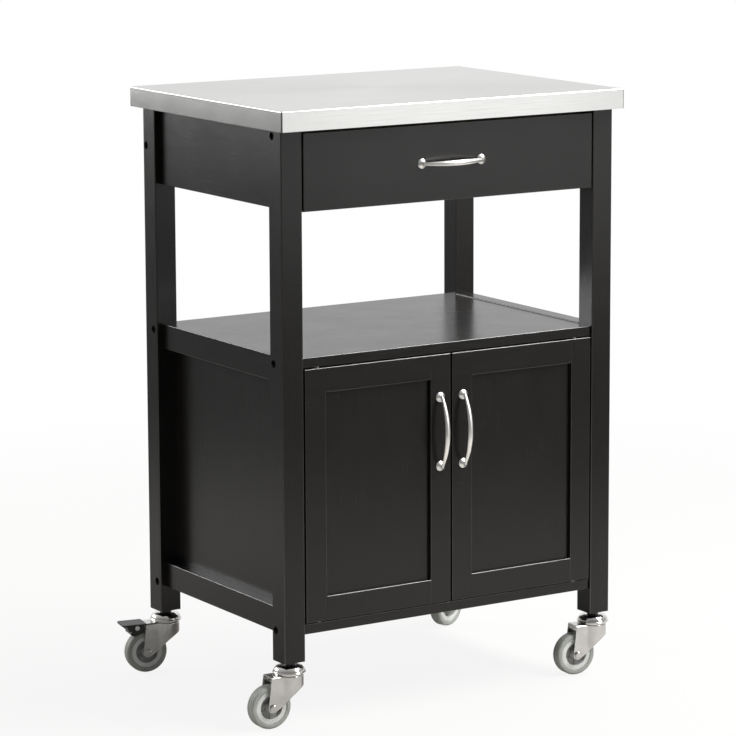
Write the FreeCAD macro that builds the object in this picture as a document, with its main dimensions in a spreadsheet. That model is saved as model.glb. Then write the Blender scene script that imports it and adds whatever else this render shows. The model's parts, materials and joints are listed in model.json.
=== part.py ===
import FreeCAD, Part
import math
import os
import sys
from types import SimpleNamespace

import Sketcher
from FreeCAD import Rotation, Vector

# Kitchen cart on casters: steel worktop, one drawer, an open shelf and a cabinet with two doors.
# X runs along the front (+X to the right seen from the front), -Y is the front, Z is up.
# The origin is on the floor under the centre of the worktop. All sizes are in millimetres.

sizes = [
    # Worktop
    ("topLength", 600, "worktop along X"),
    ("topDepth", 450, "worktop along Y"),
    ("topHeight", 907, "worktop surface above the floor"),
    ("topThickness", 30, "height of the worktop's edge"),
    ("skinGauge", 0.8, "steel skin"),
    ("skinReturn", 7, "width of the skin's fold under the core"),
    ("skinCorner", 2, "radius of the skin's upright corners"),
    ("skinEdge", 1.5, "radius of the skin's top edges"),
    # Posts
    ("sideOverhang", 9, "worktop past the posts at each side"),
    ("frontOverhang", 18, "worktop past the posts at the front"),
    ("backOverhang", 24, "worktop past the posts at the back"),
    ("postSide", 35, "side of a square post"),
    ("postFoot", 97, "underside of the posts above the floor"),
    ("postEase", 1.5, "rounding of the posts' long edges"),
    ("woodEase", 1, "rounding of boards, rails and fronts"),
    # Side frames and aprons
    ("railInset", 10, "rails and aprons behind the posts' outer faces"),
    ("railHeight", 38, "height of a side rail"),
    ("railStep", 1.5, "shelf rails above the shelf surface"),
    ("apronHeight", 115, "height of the aprons round the drawer"),
    ("backApronThickness", 18, "back apron"),
    ("topRailThickness", 18, "front top rail"),
    ("topRailWidth", 40, "front top rail from front to back"),
    ("topRailGap", 1, "between the drawer front and the front top rail"),
    ("sidePanelInset", 28, "side panels behind the posts' outer faces"),
    ("panelThickness", 4, "side and back panels"),
    ("grooveDepth", 6, "grooves that hold the panels"),
    ("panelPlay", 0.5, "room round a panel in its grooves"),
    ("rebateDepth", 3, "rebates of shelf and bottom board that hold the back panel"),
    # Boards
    ("shelfTop", 546, "shelf surface above the floor"),
    ("bottomUnderside", 136, "underside of the bottom board above the floor"),
    ("boardThickness", 15, "shelf and bottom board"),
    ("boardRecess", 4, "boards' front edges behind the posts' front faces"),
    ("boardBackInset", 15, "boards' back edges before the posts' back faces"),
    # Bolts, inserts and dowels
    ("boltRadius", 3, "frame bolt shank"),
    ("boltPlay", 0.2, "room round a bolt shank in a post"),
    ("boltHeadRadius", 5, "frame bolt head"),
    ("boltHeadHeight", 6, "frame bolt head"),
    ("sinkRadius", 6, "counterbore for a bolt head"),
    ("sinkDepth", 9, "counterbore for a bolt head"),
    ("boltReach", 20, "bolt shank past the post, inside the board"),
    ("boltTipRoom", 2, "hole past the tip of a bolt"),
    ("insertRadius", 5, "outside of a threaded insert"),
    ("insertLength", 15, "threaded insert"),
    ("frontBoltInset", 25, "front bolts behind the posts' front faces"),
    ("backBoltInset", 24, "back bolts before the posts' back faces"),
    ("dowelRadius", 4, "wooden dowel"),
    ("dowelHalf", 15, "dowel inside each of its two pieces"),
    ("dowelRoom", 1, "hole past the end of a dowel"),
    ("apronDowelInset", 25, "dowels from the aprons' long edges"),
    ("railDowelInset", 11, "dowel from a side rail's grooved edge"),
    ("fitGap", 0.05, "radial clearance of round pieces that are fixed in holes"),
    ("runGap", 0.08, "radial clearance of round pieces that turn"),
    # Drawer
    ("drawerSideGap", 2.5, "between drawer front and post"),
    ("drawerTopGap", 5.5, "between drawer front and worktop"),
    ("drawerFrontHeight", 113, "drawer front"),
    ("frontThickness", 16, "drawer front and doors"),
    ("boxLift", 7.5, "drawer sides above the front's lower edge"),
    ("boxHeight", 85, "drawer sides"),
    ("boxRoom", 19, "between the drawer's back and the back apron"),
    (
        "boxLength",
        "=topDepth - frontOverhang - backOverhang - frontThickness - backApronThickness - boxRoom",
        "drawer sides",
    ),
    ("boxWall", 12, "drawer sides and back"),
    ("boxFloor", 4, "drawer bottom"),
    ("boxFloorLift", 8, "drawer bottom above the sides' lower edges"),
    # Drawer runners
    ("runnerSpace", 12.7, "between drawer side and apron"),
    ("runnerSetback", 4, "runners behind the drawer front"),
    ("runnerEnd", 1, "runners before the drawer's back"),
    ("runnerLength", "=boxLength - runnerSetback - runnerEnd", "both runner members"),
    ("runnerGauge", 1.2, "runner sheet"),
    ("runnerHeight", 45, "outer channel"),
    ("runnerDepth", 11.4, "outer channel"),
    ("runnerLift", 46.5, "runner centre line above the drawer front's lower edge"),
    ("slideDepth", 8, "sliding member"),
    ("ballRadius", 2.1, "runner balls"),
    ("ballInset", 5, "ball centres from the drawer side"),
    ("ballPitch", 14, "distance between balls"),
    ("cageGauge", 0.8, "ball cage sheet"),
    ("cageRoom", 1.6, "between ball cage and outer channel"),
    ("cageLip", 0.8, "cage lips past the balls"),
    ("cageEnd", 5, "first ball from the end of its cage"),
    ("cageMargin", 3, "room at each end of the cage's travel"),
    ("drawerTravel", 250, "how far the drawer opens"),
    # Doors
    ("doorSideGap", 2.8, "between door and post"),
    ("doorMeetGap", 3, "between the two doors"),
    ("doorTopGap", 1.5, "between door and shelf"),
    ("doorBottomGap", 2.2, "between door and bottom board"),
    ("stileWidth", 35, "upright pieces of a door frame"),
    ("doorRailWidth", 36.5, "cross pieces of a door frame"),
    ("doorPanelInset", 6, "door panel behind the door's face"),
    ("doorPanelThickness", 5, "door panel"),
    ("pivotInset", 25, "pivot axis from the door's hinge edge"),
    ("pivotDepth", 10, "pivot axis behind the door's face"),
    ("pivotRadius", 2.5, "pivot pin"),
    ("pivotGrip", 18, "pivot pin inside the door"),
    ("pivotReach", 7, "pivot pin past the door's edge"),
    ("collarRadius", 4.5, "shoulder of a pivot pin"),
    ("collarGap", 0.1, "between pin shoulder and bush"),
    ("bushRadius", 4, "outside of a pivot bush"),
    ("bushLength", 8, "pivot bush, flush with its board"),
    ("bushFlangeRadius", 4.6, "flange of a pivot bush"),
    ("bushFlange", 0.8, "flange of a pivot bush"),
    # Magnet catch
    ("catchWidth", 44, "catch along X"),
    ("catchDepth", 14, "catch along Y"),
    ("catchHeight", 13, "catch along Z"),
    ("strikeGap", 0.3, "between strike plates and catch"),
    ("strikeThickness", 1, "strike plate"),
    ("strikeWidth", 15, "strike plate along X"),
    ("strikeHeight", 12, "strike plate along Z"),
    ("strikeInset", 2, "strike plate from the door's free edge"),
    ("strikeDrop", 1.5, "strike plate below the door's top edge"),
    # Handles
    ("handlePitch", 104, "distance between a handle's feet"),
    ("footRadius", 7.5, "handle foot"),
    ("footRim", 1.5, "straight rim of a handle foot"),
    ("footHeight", 9, "handle foot"),
    ("neckRadius", 3.2, "top of a handle foot"),
    ("bowStand", 6.8, "bow's centre line above the face at the feet"),
    ("bowRise", 13.7, "middle of the bow above its ends"),
    ("bowWidth", 8.5, "bow in the middle"),
    ("bowThickness", 6, "bow in the middle"),
    ("bowTipWidth", 4.4, "bow at the feet"),
    ("bowTipThickness", 4, "bow at the feet"),
    ("doorHandleDrop", 116, "door handle's centre below the door's top edge"),
    ("doorHandleInset", 18.8, "door handle's centre from the door's free edge"),
    # Wheels
    ("wheelRadius", 32.5, "tyre outside"),
    ("wheelWidth", 19, "tyre"),
    ("tyreBore", 24.4, "inside radius of the tyre"),
    ("tyreShoulder", 3, "rounding of the tyre's shoulders"),
    ("rimWidth", 17, "wheel rim"),
    ("rimBore", 17.7, "inside radius of the rim"),
    ("webThickness", 5, "wheel disc between rim and hub"),
    ("hubRadius", 9, "wheel hub outside"),
    ("hubPlay", 0.4, "between hub and fork on each side"),
    # Caster forks
    ("casterTrail", 33.5, "axle behind the swivel axis"),
    ("axleRadius", 4, "axle bolt"),
    ("axleHeadRadius", 5.5, "heads of the axle bolt"),
    ("axleHeadHeight", 3.4, "heads of the axle bolt"),
    ("forkWidth", 28, "fork over its side plates"),
    ("forkGauge", 2, "fork sheet"),
    ("forkTop", 78.5, "top of the fork above the floor"),
    ("forkNose", 21, "outer radius of the fork's round front"),
    ("forkNoseHeight", 16, "fork's round front"),
    ("forkKneeBack", 16, "where the fork's lower edge starts to sweep up, behind the swivel axis"),
    ("forkKneeHeight", 34.5, "the same place above the floor"),
    ("forkSweep", 4.5, "how far that sweep bulges upwards"),
    ("forkBend", 2.5, "outer bend radius along the fork's top"),
    ("forkCrease", 4, "bend radius between side plate and round front"),
    ("forkTail", 1.5, "side plates past the axle at the top"),
    ("forkEye", 7.5, "rounding of the side plates round the axle"),
    # Swivel heads
    ("swivelGap", 0.3, "between the fork and the pieces it turns on"),
    ("kingPinRadius", 5, "pin through the fork"),
    ("kingHeadRadius", 8, "head of that pin under the fork"),
    ("kingHeadHeight", 4, "head of that pin under the fork"),
    ("raceRadius", 22, "ball race between fork and cap"),
    ("raceHeight", 1.8, "ball race between fork and cap"),
    ("capRadius", 24.6, "swivel cap"),
    ("capDome", 9, "rounding of the swivel cap"),
    ("nutHeight", 7, "stem nut"),
    ("nutRadius", 9, "corners of the stem nut"),
    ("stemRadius", 4, "caster stem"),
    ("stemReach", 28, "caster stem inside the post"),
    ("socketRadius", 6, "threaded socket in the post"),
    ("socketLength", 30, "threaded socket in the post"),
    # Brake pedals of the rear casters
    ("pedalPinBack", 17.5, "pedal pin behind the axle"),
    ("pedalPinHeight", 73.2, "pedal pin above the floor"),
    ("pedalPinRadius", 2, "pedal pin"),
    ("rivetRadius", 3.8, "rivet heads of the pedal pin"),
    ("rivetHeight", 1.6, "rivet heads of the pedal pin"),
    ("earReach", 3.6, "rounding of the fork's ears round the pedal pin"),
    ("earWidth", 20, "over the fork's two ears"),
    ("earGauge", 1.6, "fork ear"),
    ("earRoot", 12, "ears under the fork's top plate"),
    ("earHeight", 6.5, "ears below the fork's top plate"),
    ("pedalPlay", 0.4, "between pedal and ears"),
    ("cheekThickness", 3.8, "sides of the pedal"),
    ("cheekFront", 12.5, "sides of the pedal before the pin"),
    ("cheekFrontDrop", 7.5, "front lower corner of the sides below the pin"),
    ("cheekBack", 16.5, "sides of the pedal behind the pin at the top"),
    ("clawBack", 13, "tip of the upper claw behind the pin"),
    ("clawDrop", 5.2, "tip of the upper claw below the pin"),
    ("notchBack", 8, "bottom of the notch between the claws behind the pin"),
    ("notchDrop", 4.5, "bottom of that notch below the pin"),
    ("lowClawBack", 10.8, "tip of the lower claw behind the pin"),
    ("lowClawDrop", 9.6, "tip of the lower claw below the pin"),
    ("heelBack", 5.6, "lowest corner of the sides behind the pin"),
    ("heelDrop", 12.8, "lowest corner of the sides below the pin"),
    ("treadWidth", 33, "pedal's tread along Y"),
    ("treadThickness", 2.3, "pedal's tread"),
    ("treadFront", 14.5, "tread before the pedal pin"),
    ("treadBack", 23.5, "tread behind the pedal pin"),
    ("treadCorner", 4, "rounding of the tread's back corners"),
    ("shoeGap", 0.9, "between the brake shoe and the tyre"),
    ("shoeDrop", 9.2, "top of the brake shoe below the pedal pin"),
    # Casters stand in the photographed direction: trailing to the left, turned by these angles.
    ("frontLeftSwivel", "=-3.5 deg", "front left caster"),
    ("frontRightSwivel", "=-6 deg", "front right caster"),
    ("rearLeftSwivel", "=-11 deg", "rear left caster"),
    ("rearRightSwivel", "=17.5 deg", "rear right caster"),
]

doc = FreeCAD.newDocument("KitchenCart")
sheet = doc.addObject("Spreadsheet::Sheet", "Sizes")
for row, (alias, amount, note) in enumerate(sizes, start=1):
    sheet.set(f"A{row}", note)
    sheet.set(f"B{row}", str(amount))
    sheet.setAlias(f"B{row}", alias)
doc.recompute()


class Length:
    """A length worked out from the sheet's sizes, as an expression that properties can follow."""

    def __init__(self, text):
        self.text = str(text)

    def __str__(self):
        return self.text

    def __add__(self, other):
        return Length(f"({self} + {other})")

    def __radd__(self, other):
        return Length(f"({other} + {self})")

    def __sub__(self, other):
        return Length(f"({self} - {other})")

    def __rsub__(self, other):
        return Length(f"({other} - {self})")

    def __mul__(self, other):
        return Length(f"({self} * {other})")

    def __rmul__(self, other):
        return Length(f"({other} * {self})")

    def __truediv__(self, other):
        return Length(f"({self} / {other})")

    def __neg__(self):
        return Length(f"(0 - {self})")


def root(length):
    return Length(f"sqrt({length})")


def number(length):
    return float(sheet.evalExpression(str(length)))


dim = SimpleNamespace(**{alias: Length("Sizes." + alias) for alias, amount, note in sizes})

LEFT, RIGHT = -1, 1
SIDES = {"left": LEFT, "right": RIGHT}
AXES = {"x": Vector(1, 0, 0), "y": Vector(0, 1, 0), "z": Vector(0, 0, 1)}
TURNS = {
    "+x": Rotation(AXES["y"], 90),
    "-x": Rotation(AXES["y"], -90),
    "+y": Rotation(AXES["x"], -90),
    "-y": Rotation(AXES["x"], 90),
    "+z": Rotation(),
    "-z": Rotation(AXES["x"], 180),
}

# Places closer together than this count as the same place.
touching = 1e-3

nodes = []


def bind(item, **lengths):
    """Ties an object's properties to expressions."""
    for name, length in lengths.items():
        item.setExpression(name, str(length))


def bindPlace(item, place, turn=None):
    """Ties an object's position to expressions, after a fixed turn."""
    if turn is not None:
        item.Placement = FreeCAD.Placement(Vector(), turn)
    for axis, length in zip("xyz", place):
        item.setExpression(f"Placement.Base.{axis}", str(length))


def bindTurned(item, place, axis, degrees):
    """Ties an object's position and its turn about one axis to expressions."""
    spot = "; ".join(str(length) for length in place)
    pole = "; ".join(str(part) for part in AXES[axis])
    item.setExpression("Placement", f"placement(vector({spot}); rotation(vector({pole}); {degrees}))")


def spanX(side, inner, outer):
    """Low and high X of something that lies between two distances from the middle on one side."""
    if side == RIGHT:
        return inner, outer
    return -1 * outer, -1 * inner


def inward(side):
    """Direction towards the middle of the cart."""
    return "-x" if side == RIGHT else "+x"


class Piece:
    """A body whose features are placed in the same coordinates as the body itself."""

    def __init__(self, name, origin=(0, 0, 0)):
        self.name = name
        self.origin = origin
        self.features = 0
        self.body = doc.addObject("PartDesign::Body", name)
        self.body.Label = name
        bindPlace(self.body, origin)

    def feature(self, kind, place=None, turn=None, **lengths):
        self.features += 1
        new = self.body.newObject(f"PartDesign::{kind}", f"{self.name}_step{self.features}")
        if place is not None:
            bindPlace(new, [at - base for at, base in zip(place, self.origin)], turn)
        bind(new, **lengths)
        return new

    def block(self, low, high, kind="AdditiveBox"):
        length, width, height = [top - bottom for bottom, top in zip(low, high)]
        return self.feature(kind, low, Length=length, Width=width, Height=height)

    def cutBlock(self, low, high):
        return self.block(low, high, "SubtractiveBox")

    def rod(self, start, direction, radius, length, kind="AdditiveCylinder"):
        return self.feature(kind, start, TURNS[direction], Radius=radius, Height=length)

    def bore(self, start, direction, radius, length):
        return self.rod(start, direction, radius, length, "SubtractiveCylinder")

    def ownOrigin(self, role):
        """One of the body's own origin planes or axes."""
        return next(item for item in self.body.Origin.OriginFeatures if item.Role == role)

    def sketch(self, plane, outlines, arcs=()):
        """Closed outlines through given points. An arc is (outline, segment, centre, radius)."""
        new = self.body.newObject("Sketcher::SketchObject", f"{self.name}_sketch{self.features}")
        new.AttachmentSupport = [(self.ownOrigin(plane), "")]
        new.MapMode = "FlatFace"
        rounds = {(outline, segment): (centre, radius) for outline, segment, centre, radius in arcs}
        for index, points in enumerate(outlines):
            spots = [Vector(number(across), number(up), 0) for across, up in points]
            first = new.GeometryCount
            ends = []
            for segment, spot in enumerate(spots):
                after = spots[(segment + 1) % len(spots)]
                if (index, segment) not in rounds:
                    new.addGeometry(Part.LineSegment(spot, after))
                    ends.append((1, 2))
                    continue
                centre, radius = rounds[index, segment]
                middle = Vector(number(centre[0]), number(centre[1]), 0)
                circle = Part.Circle(middle, AXES["z"], number(radius))
                forward = (spot - middle).cross(after - middle).z > 0
                tips = (spot, after) if forward else (after, spot)
                angles = [math.atan2(tip.y - middle.y, tip.x - middle.x) for tip in tips]
                if angles[1] < angles[0]:
                    angles[1] += 2 * math.pi
                new.addGeometry(Part.ArcOfCircle(circle, *angles))
                ends.append((1, 2) if forward else (2, 1))
                place = new.addConstraint(Sketcher.Constraint("Radius", first + segment, number(radius)))
                new.setExpression(f"Constraints[{place}]", str(radius))
            for segment, (across, up) in enumerate(points):
                line = first + segment
                after = (segment + 1) % len(points)
                joint = Sketcher.Constraint("Coincident", line, ends[segment][1], first + after, ends[after][0])
                new.addConstraint(joint)
                for kind, length in (("DistanceX", across), ("DistanceY", up)):
                    rule = Sketcher.Constraint(kind, -1, 1, line, ends[segment][0], number(length))
                    new.setExpression(f"Constraints[{new.addConstraint(rule)}]", str(length))
        return new

    def pad(self, sketch, length):
        """Thickens a sketch by the same amount on both sides of its plane."""
        new = self.feature("Pad", Length=length)
        new.Profile = sketch
        new.SideType = "Symmetric"
        return new

    def pocket(self, sketch, length):
        new = self.feature("Pocket", Length=length)
        new.Profile = sketch
        new.SideType = "Symmetric"
        return new

    def revolve(self, sketch, axis):
        new = self.feature("Revolution")
        new.Profile = sketch
        new.ReferenceAxis = (self.ownOrigin(axis), [""])
        new.Angle = 360
        return new

    def ease(self, radius, chosen):
        """Rounds the edges of the last feature for which chosen(edge) is true."""
        doc.recompute()
        base = self.body.Tip
        edges = enumerate(base.Shape.Edges, start=1)
        names = [f"Edge{place}" for place, edge in edges if chosen(edge)]
        if not names:
            raise ValueError(f"{self.name}: no edge to round")
        new = self.feature("Fillet", Radius=radius)
        new.Base = (base, names)
        return new

    def easeLong(self, radius, axis, sides=None):
        """Rounds straight edges along an axis: all, or those on pairs of outer faces like -y+z."""
        doc.recompute()
        box = self.body.Tip.Shape.BoundBox
        limits = {
            "-x": box.XMin,
            "+x": box.XMax,
            "-y": box.YMin,
            "+y": box.YMax,
            "-z": box.ZMin,
            "+z": box.ZMax,
        }

        def onFace(edge, face):
            return abs(getattr(edge.CenterOfMass, face[1]) - limits[face]) < touching

        def chosen(edge):
            if not isinstance(edge.Curve, Part.Line):
                return False
            if abs(edge.Curve.Direction.dot(AXES[axis])) < 0.999:
                return False
            return sides is None or any(onFace(edge, pair[:2]) and onFace(edge, pair[2:]) for pair in sides)

        return self.ease(radius, chosen)

    def node(self):
        nodes.append(self.body)
        return self.body


def group(name, members):
    """Several solids that are handled as one sub-part."""
    new = doc.addObject("Part::Compound", name)
    new.Label = name
    new.Links = members
    nodes.append(new)
    return new


def copyOf(name, forms, place, turn=None):
    """The same piece, or pieces, again at another place."""
    new = doc.addObject("Part::Compound", name)
    new.Label = name
    new.Links = forms
    bindPlace(new, place, turn)
    return new


# Places that several pieces share. Distances in X are from the middle of the cart.
postTop = dim.topHeight - dim.topThickness
postOuter = dim.topLength / 2 - dim.sideOverhang
postInner = postOuter - dim.postSide
railOuter = postOuter - dim.railInset
railMiddle = (postInner + railOuter) / 2
frontFace = dim.frontOverhang - dim.topDepth / 2
frontPostBack = frontFace + dim.postSide
backFace = dim.topDepth / 2 - dim.backOverhang
backPostFront = backFace - dim.postSide
boardFront = frontFace + dim.boardRecess
boardBack = backFace - dim.boardBackInset
shelfUnderside = dim.shelfTop - dim.boardThickness
bottomTop = dim.bottomUnderside + dim.boardThickness
apronBottom = postTop - dim.apronHeight
shelfRailTop = dim.shelfTop + dim.railStep
shelfRailBottom = shelfRailTop - dim.railHeight
lowerRailTop = dim.bottomUnderside + dim.railHeight
sidePanelOuter = postOuter - dim.sidePanelInset
sidePanelInner = sidePanelOuter - dim.panelThickness
backPanelFront = boardBack - dim.panelThickness
backPanelLow = bottomTop - dim.rebateDepth
backPanelHigh = shelfUnderside + dim.rebateDepth
frontBack = frontFace + dim.frontThickness
frontBoltY = frontFace + dim.frontBoltInset
backBoltY = backFace - dim.backBoltInset
shelfMiddle = shelfUnderside + dim.boardThickness / 2
bottomMiddle = dim.bottomUnderside + dim.boardThickness / 2
topRailMiddle = postTop - dim.topRailThickness / 2
backApronMiddle = backFace - dim.backApronThickness / 2
apronMiddle = postTop - dim.apronHeight / 2

# Frame bolts by post end, as (Y, Z) of their axes, and dowels as Z.
boltSpots = {
    "front": [(frontBoltY, topRailMiddle), (frontBoltY, shelfMiddle), (frontBoltY, bottomMiddle)],
    "back": [(backApronMiddle, apronMiddle), (backBoltY, shelfMiddle), (backBoltY, bottomMiddle)],
}
apronDowels = [apronBottom + dim.apronDowelInset, postTop - dim.apronDowelInset]
shelfRailDowel = shelfRailBottom + dim.railDowelInset
lowerRailDowel = lowerRailTop - dim.railDowelInset
dowelHoleRadius = dim.dowelRadius + dim.fitGap
dowelHoleDepth = dim.dowelHalf + dim.dowelRoom
insertHoleRadius = dim.insertRadius + dim.fitGap
insertHoleDepth = dim.boltReach + dim.boltTipRoom

# Caster heads stand under the middle of each post.
casterX = postOuter - dim.postSide / 2
casterY = {"front": frontFace + dim.postSide / 2, "back": backFace - dim.postSide / 2}


# Worktop: a folded steel skin round a board. The posts reach the board through the skin's opening.
def makeWorktop():
    halfLength = dim.topLength / 2
    halfDepth = dim.topDepth / 2
    gauge = dim.skinGauge
    opening = gauge + dim.skinReturn

    skin = Piece("worktop_skin", (-halfLength, -halfDepth, postTop))
    skin.block((-halfLength, -halfDepth, postTop), (halfLength, halfDepth, dim.topHeight))
    skin.easeLong(dim.skinCorner, "z")
    skin.ease(dim.skinEdge, lambda edge: edge.BoundBox.ZMin > number(dim.topThickness) - touching)
    skin.cutBlock(
        (gauge - halfLength, gauge - halfDepth, postTop + gauge),
        (halfLength - gauge, halfDepth - gauge, dim.topHeight - gauge),
    )
    skin.cutBlock(
        (opening - halfLength, opening - halfDepth, postTop),
        (halfLength - opening, halfDepth - opening, postTop + gauge),
    )
    skin.node()

    core = Piece("worktop_core", (gauge - halfLength, gauge - halfDepth, postTop))
    core.block(
        (gauge - halfLength, gauge - halfDepth, postTop + gauge),
        (halfLength - gauge, halfDepth - gauge, dim.topHeight - gauge),
    )
    core.block(
        (opening - halfLength, opening - halfDepth, postTop),
        (halfLength - opening, halfDepth - opening, postTop + gauge),
    )
    core.node()


# Post with its bolt holes, dowel holes, panel grooves and caster socket hole.
def makePost(name, side, end):
    lowX, highX = spanX(side, postInner, postOuter)
    lowY = frontFace if end == "front" else backPostFront
    joint = frontPostBack if end == "front" else backPostFront
    intoPost = "-y" if end == "front" else "+y"
    post = Piece(name, (lowX, lowY, dim.postFoot))
    post.block((lowX, lowY, dim.postFoot), (highX, lowY + dim.postSide, postTop))
    post.easeLong(dim.postEase, "z")
    for boltY, boltZ in boltSpots[end]:
        mouth = (side * postOuter, boltY, boltZ)
        post.bore(mouth, inward(side), dim.sinkRadius, dim.sinkDepth)
        post.bore(mouth, inward(side), dim.boltRadius + dim.boltPlay, dim.postSide)
    for dowelZ in apronDowels + [shelfRailDowel, lowerRailDowel]:
        post.bore((side * railMiddle, joint, dowelZ), intoPost, dowelHoleRadius, dowelHoleDepth)
    grooveX = spanX(side, sidePanelInner, sidePanelOuter)
    grooveY = (joint - dim.grooveDepth, joint) if end == "front" else (joint, joint + dim.grooveDepth)
    post.cutBlock(
        (grooveX[0], grooveY[0], lowerRailTop - dim.grooveDepth),
        (grooveX[1], grooveY[1], shelfRailBottom + dim.grooveDepth),
    )
    if end == "back":
        backX = spanX(side, postInner, postInner + dim.grooveDepth)
        post.cutBlock((backX[0], backPanelFront, backPanelLow), (backX[1], boardBack, backPanelHigh))
    socket = (side * casterX, casterY[end], dim.postFoot)
    post.bore(socket, "+z", dim.socketRadius + dim.fitGap, dim.socketLength)
    post.node()


# Rail or apron of a side frame: joined to both posts with dowels, flush with their inner faces.
def makeSideRail(name, side, low, high, dowels, groove=None):
    lowX, highX = spanX(side, postInner, railOuter)
    rail = Piece(name, (lowX, frontPostBack, low))
    rail.block((lowX, frontPostBack, low), (highX, backPostFront, high))
    rail.easeLong(dim.woodEase, "y")
    for dowelZ in dowels:
        rail.bore((side * railMiddle, frontPostBack, dowelZ), "+y", dowelHoleRadius, dowelHoleDepth)
        rail.bore((side * railMiddle, backPostFront, dowelZ), "-y", dowelHoleRadius, dowelHoleDepth)
    if groove is not None:
        grooveX = spanX(side, sidePanelInner, sidePanelOuter)
        rail.cutBlock((grooveX[0], frontPostBack, groove[0]), (grooveX[1], backPostFront, groove[1]))
    rail.node()


# Thin panel of a side frame, held in grooves of the posts and rails.
def makeSidePanel(name, side):
    lowX, highX = spanX(side, sidePanelInner, sidePanelOuter)
    hold = dim.grooveDepth - dim.panelPlay
    low = (lowX, frontPostBack - hold, lowerRailTop - hold)
    panel = Piece(name, low)
    panel.block(low, (highX, backPostFront + hold, shelfRailBottom + hold))
    panel.node()


# Insert holes in both ends of a board or rail that is bolted between the posts.
def boreInsertHoles(piece, spots):
    for side in SIDES.values():
        for boltY, boltZ in spots:
            piece.bore((side * postInner, boltY, boltZ), inward(side), insertHoleRadius, insertHoleDepth)


def makeFrame():
    for sideName, side in SIDES.items():
        makePost(f"front_{sideName}_post", side, "front")
        makePost(f"rear_{sideName}_post", side, "back")
        makeSideRail(f"{sideName}_apron", side, apronBottom, postTop, apronDowels)
        shelfGroove = (shelfRailBottom, shelfRailBottom + dim.grooveDepth)
        lowerGroove = (lowerRailTop - dim.grooveDepth, lowerRailTop)
        makeSideRail(
            f"{sideName}_shelf_rail", side, shelfRailBottom, shelfRailTop, [shelfRailDowel], shelfGroove
        )
        makeSideRail(
            f"{sideName}_lower_rail", side, dim.bottomUnderside, lowerRailTop, [lowerRailDowel], lowerGroove
        )
        makeSidePanel(f"{sideName}_side_panel", side)

    backApron = Piece("back_apron", (-postInner, backFace - dim.backApronThickness, apronBottom))
    backApron.block(backApron.origin, (postInner, backFace, postTop))
    backApron.easeLong(dim.woodEase, "x")
    boreInsertHoles(backApron, [boltSpots["back"][0]])
    backApron.node()

    railFront = frontBack + dim.topRailGap
    topRail = Piece("front_top_rail", (-postInner, railFront, postTop - dim.topRailThickness))
    topRail.block(topRail.origin, (postInner, railFront + dim.topRailWidth, postTop))
    topRail.easeLong(dim.woodEase, "x")
    boreInsertHoles(topRail, [boltSpots["front"][0]])
    topRail.node()


# Where the door pivots stand, seen from the middle of the cart.
pivotX = postInner - dim.doorSideGap - dim.pivotInset
pivotY = frontFace + dim.pivotDepth


# Shelf and bottom board, with holes for the bolts' inserts, sunk seats for the doors' bushes and a
# rebate for the back panel.
def makeBoard(name, low, spots, bushMouth, bushDirection, rebate):
    board = Piece(name, (-postInner, boardFront, low))
    board.block(board.origin, (postInner, boardBack, low + dim.boardThickness))
    board.easeLong(dim.woodEase, "x")
    board.cutBlock((-postInner, backPanelFront, rebate[0]), (postInner, boardBack, rebate[1]))
    boreInsertHoles(board, spots)
    for side in SIDES.values():
        mouth = (side * pivotX, pivotY, bushMouth)
        board.bore(mouth, bushDirection, dim.bushRadius + dim.fitGap, dim.bushLength)
        board.bore(mouth, bushDirection, dim.bushFlangeRadius + dim.fitGap, dim.bushFlange)
    board.node()


def makeBoards():
    shelfSpots = [boltSpots["front"][1], boltSpots["back"][1]]
    bottomSpots = [boltSpots["front"][2], boltSpots["back"][2]]
    shelfRebate = (shelfUnderside, backPanelHigh)
    bottomRebate = (backPanelLow, bottomTop)
    makeBoard("shelf_board", shelfUnderside, shelfSpots, shelfUnderside, "+z", shelfRebate)
    makeBoard("bottom_board", dim.bottomUnderside, bottomSpots, bottomTop, "-z", bottomRebate)

    hold = dim.grooveDepth - dim.panelPlay
    panel = Piece("back_panel", (-postInner - hold, backPanelFront, backPanelLow + dim.panelPlay))
    panel.block(panel.origin, (postInner + hold, boardBack, backPanelHigh - dim.panelPlay))
    panel.node()


# Bolts with sunk heads, threaded inserts and dowels, each drawn once and repeated.
def makeFasteners():
    headUnderside = postOuter - dim.sinkDepth
    bolt = Piece("bolt_form")
    bolt.rod((0, 0, 0), "+z", dim.boltRadius, dim.postSide - dim.sinkDepth + dim.boltReach)
    bolt.rod((0, 0, -dim.boltHeadHeight), "+z", dim.boltHeadRadius, dim.boltHeadHeight)
    insert = Piece("insert_form")
    insert.rod((0, 0, 0), "+z", dim.insertRadius, dim.insertLength)
    insert.bore((0, 0, 0), "+z", dim.boltRadius + dim.fitGap, dim.insertLength)
    dowel = Piece("dowel_form")
    dowel.rod((0, 0, 0), "+z", dim.dowelRadius, 2 * dim.dowelHalf)

    bolts = []
    inserts = []
    dowels = []
    for sideName, side in SIDES.items():
        turn = TURNS[inward(side)]
        for end, spots in boltSpots.items():
            for count, (boltY, boltZ) in enumerate(spots, start=1):
                tag = f"{sideName}_{end}_{count}"
                head = (side * headUnderside, boltY, boltZ)
                bolts.append(copyOf(f"bolt_{tag}", [bolt.body], head, turn))
                mouth = (side * postInner, boltY, boltZ)
                inserts.append(copyOf(f"insert_{tag}", [insert.body], mouth, turn))
        for end, joint in (("front", frontPostBack), ("back", backPostFront)):
            for count, dowelZ in enumerate(apronDowels + [shelfRailDowel, lowerRailDowel], start=1):
                start = (side * railMiddle, joint - dim.dowelHalf, dowelZ)
                dowels.append(copyOf(f"dowel_{sideName}_{end}_{count}", [dowel.body], start, TURNS["+y"]))
    group("frame_bolts", bolts)
    group("bolt_inserts", inserts)
    group("frame_dowels", dowels)


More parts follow.
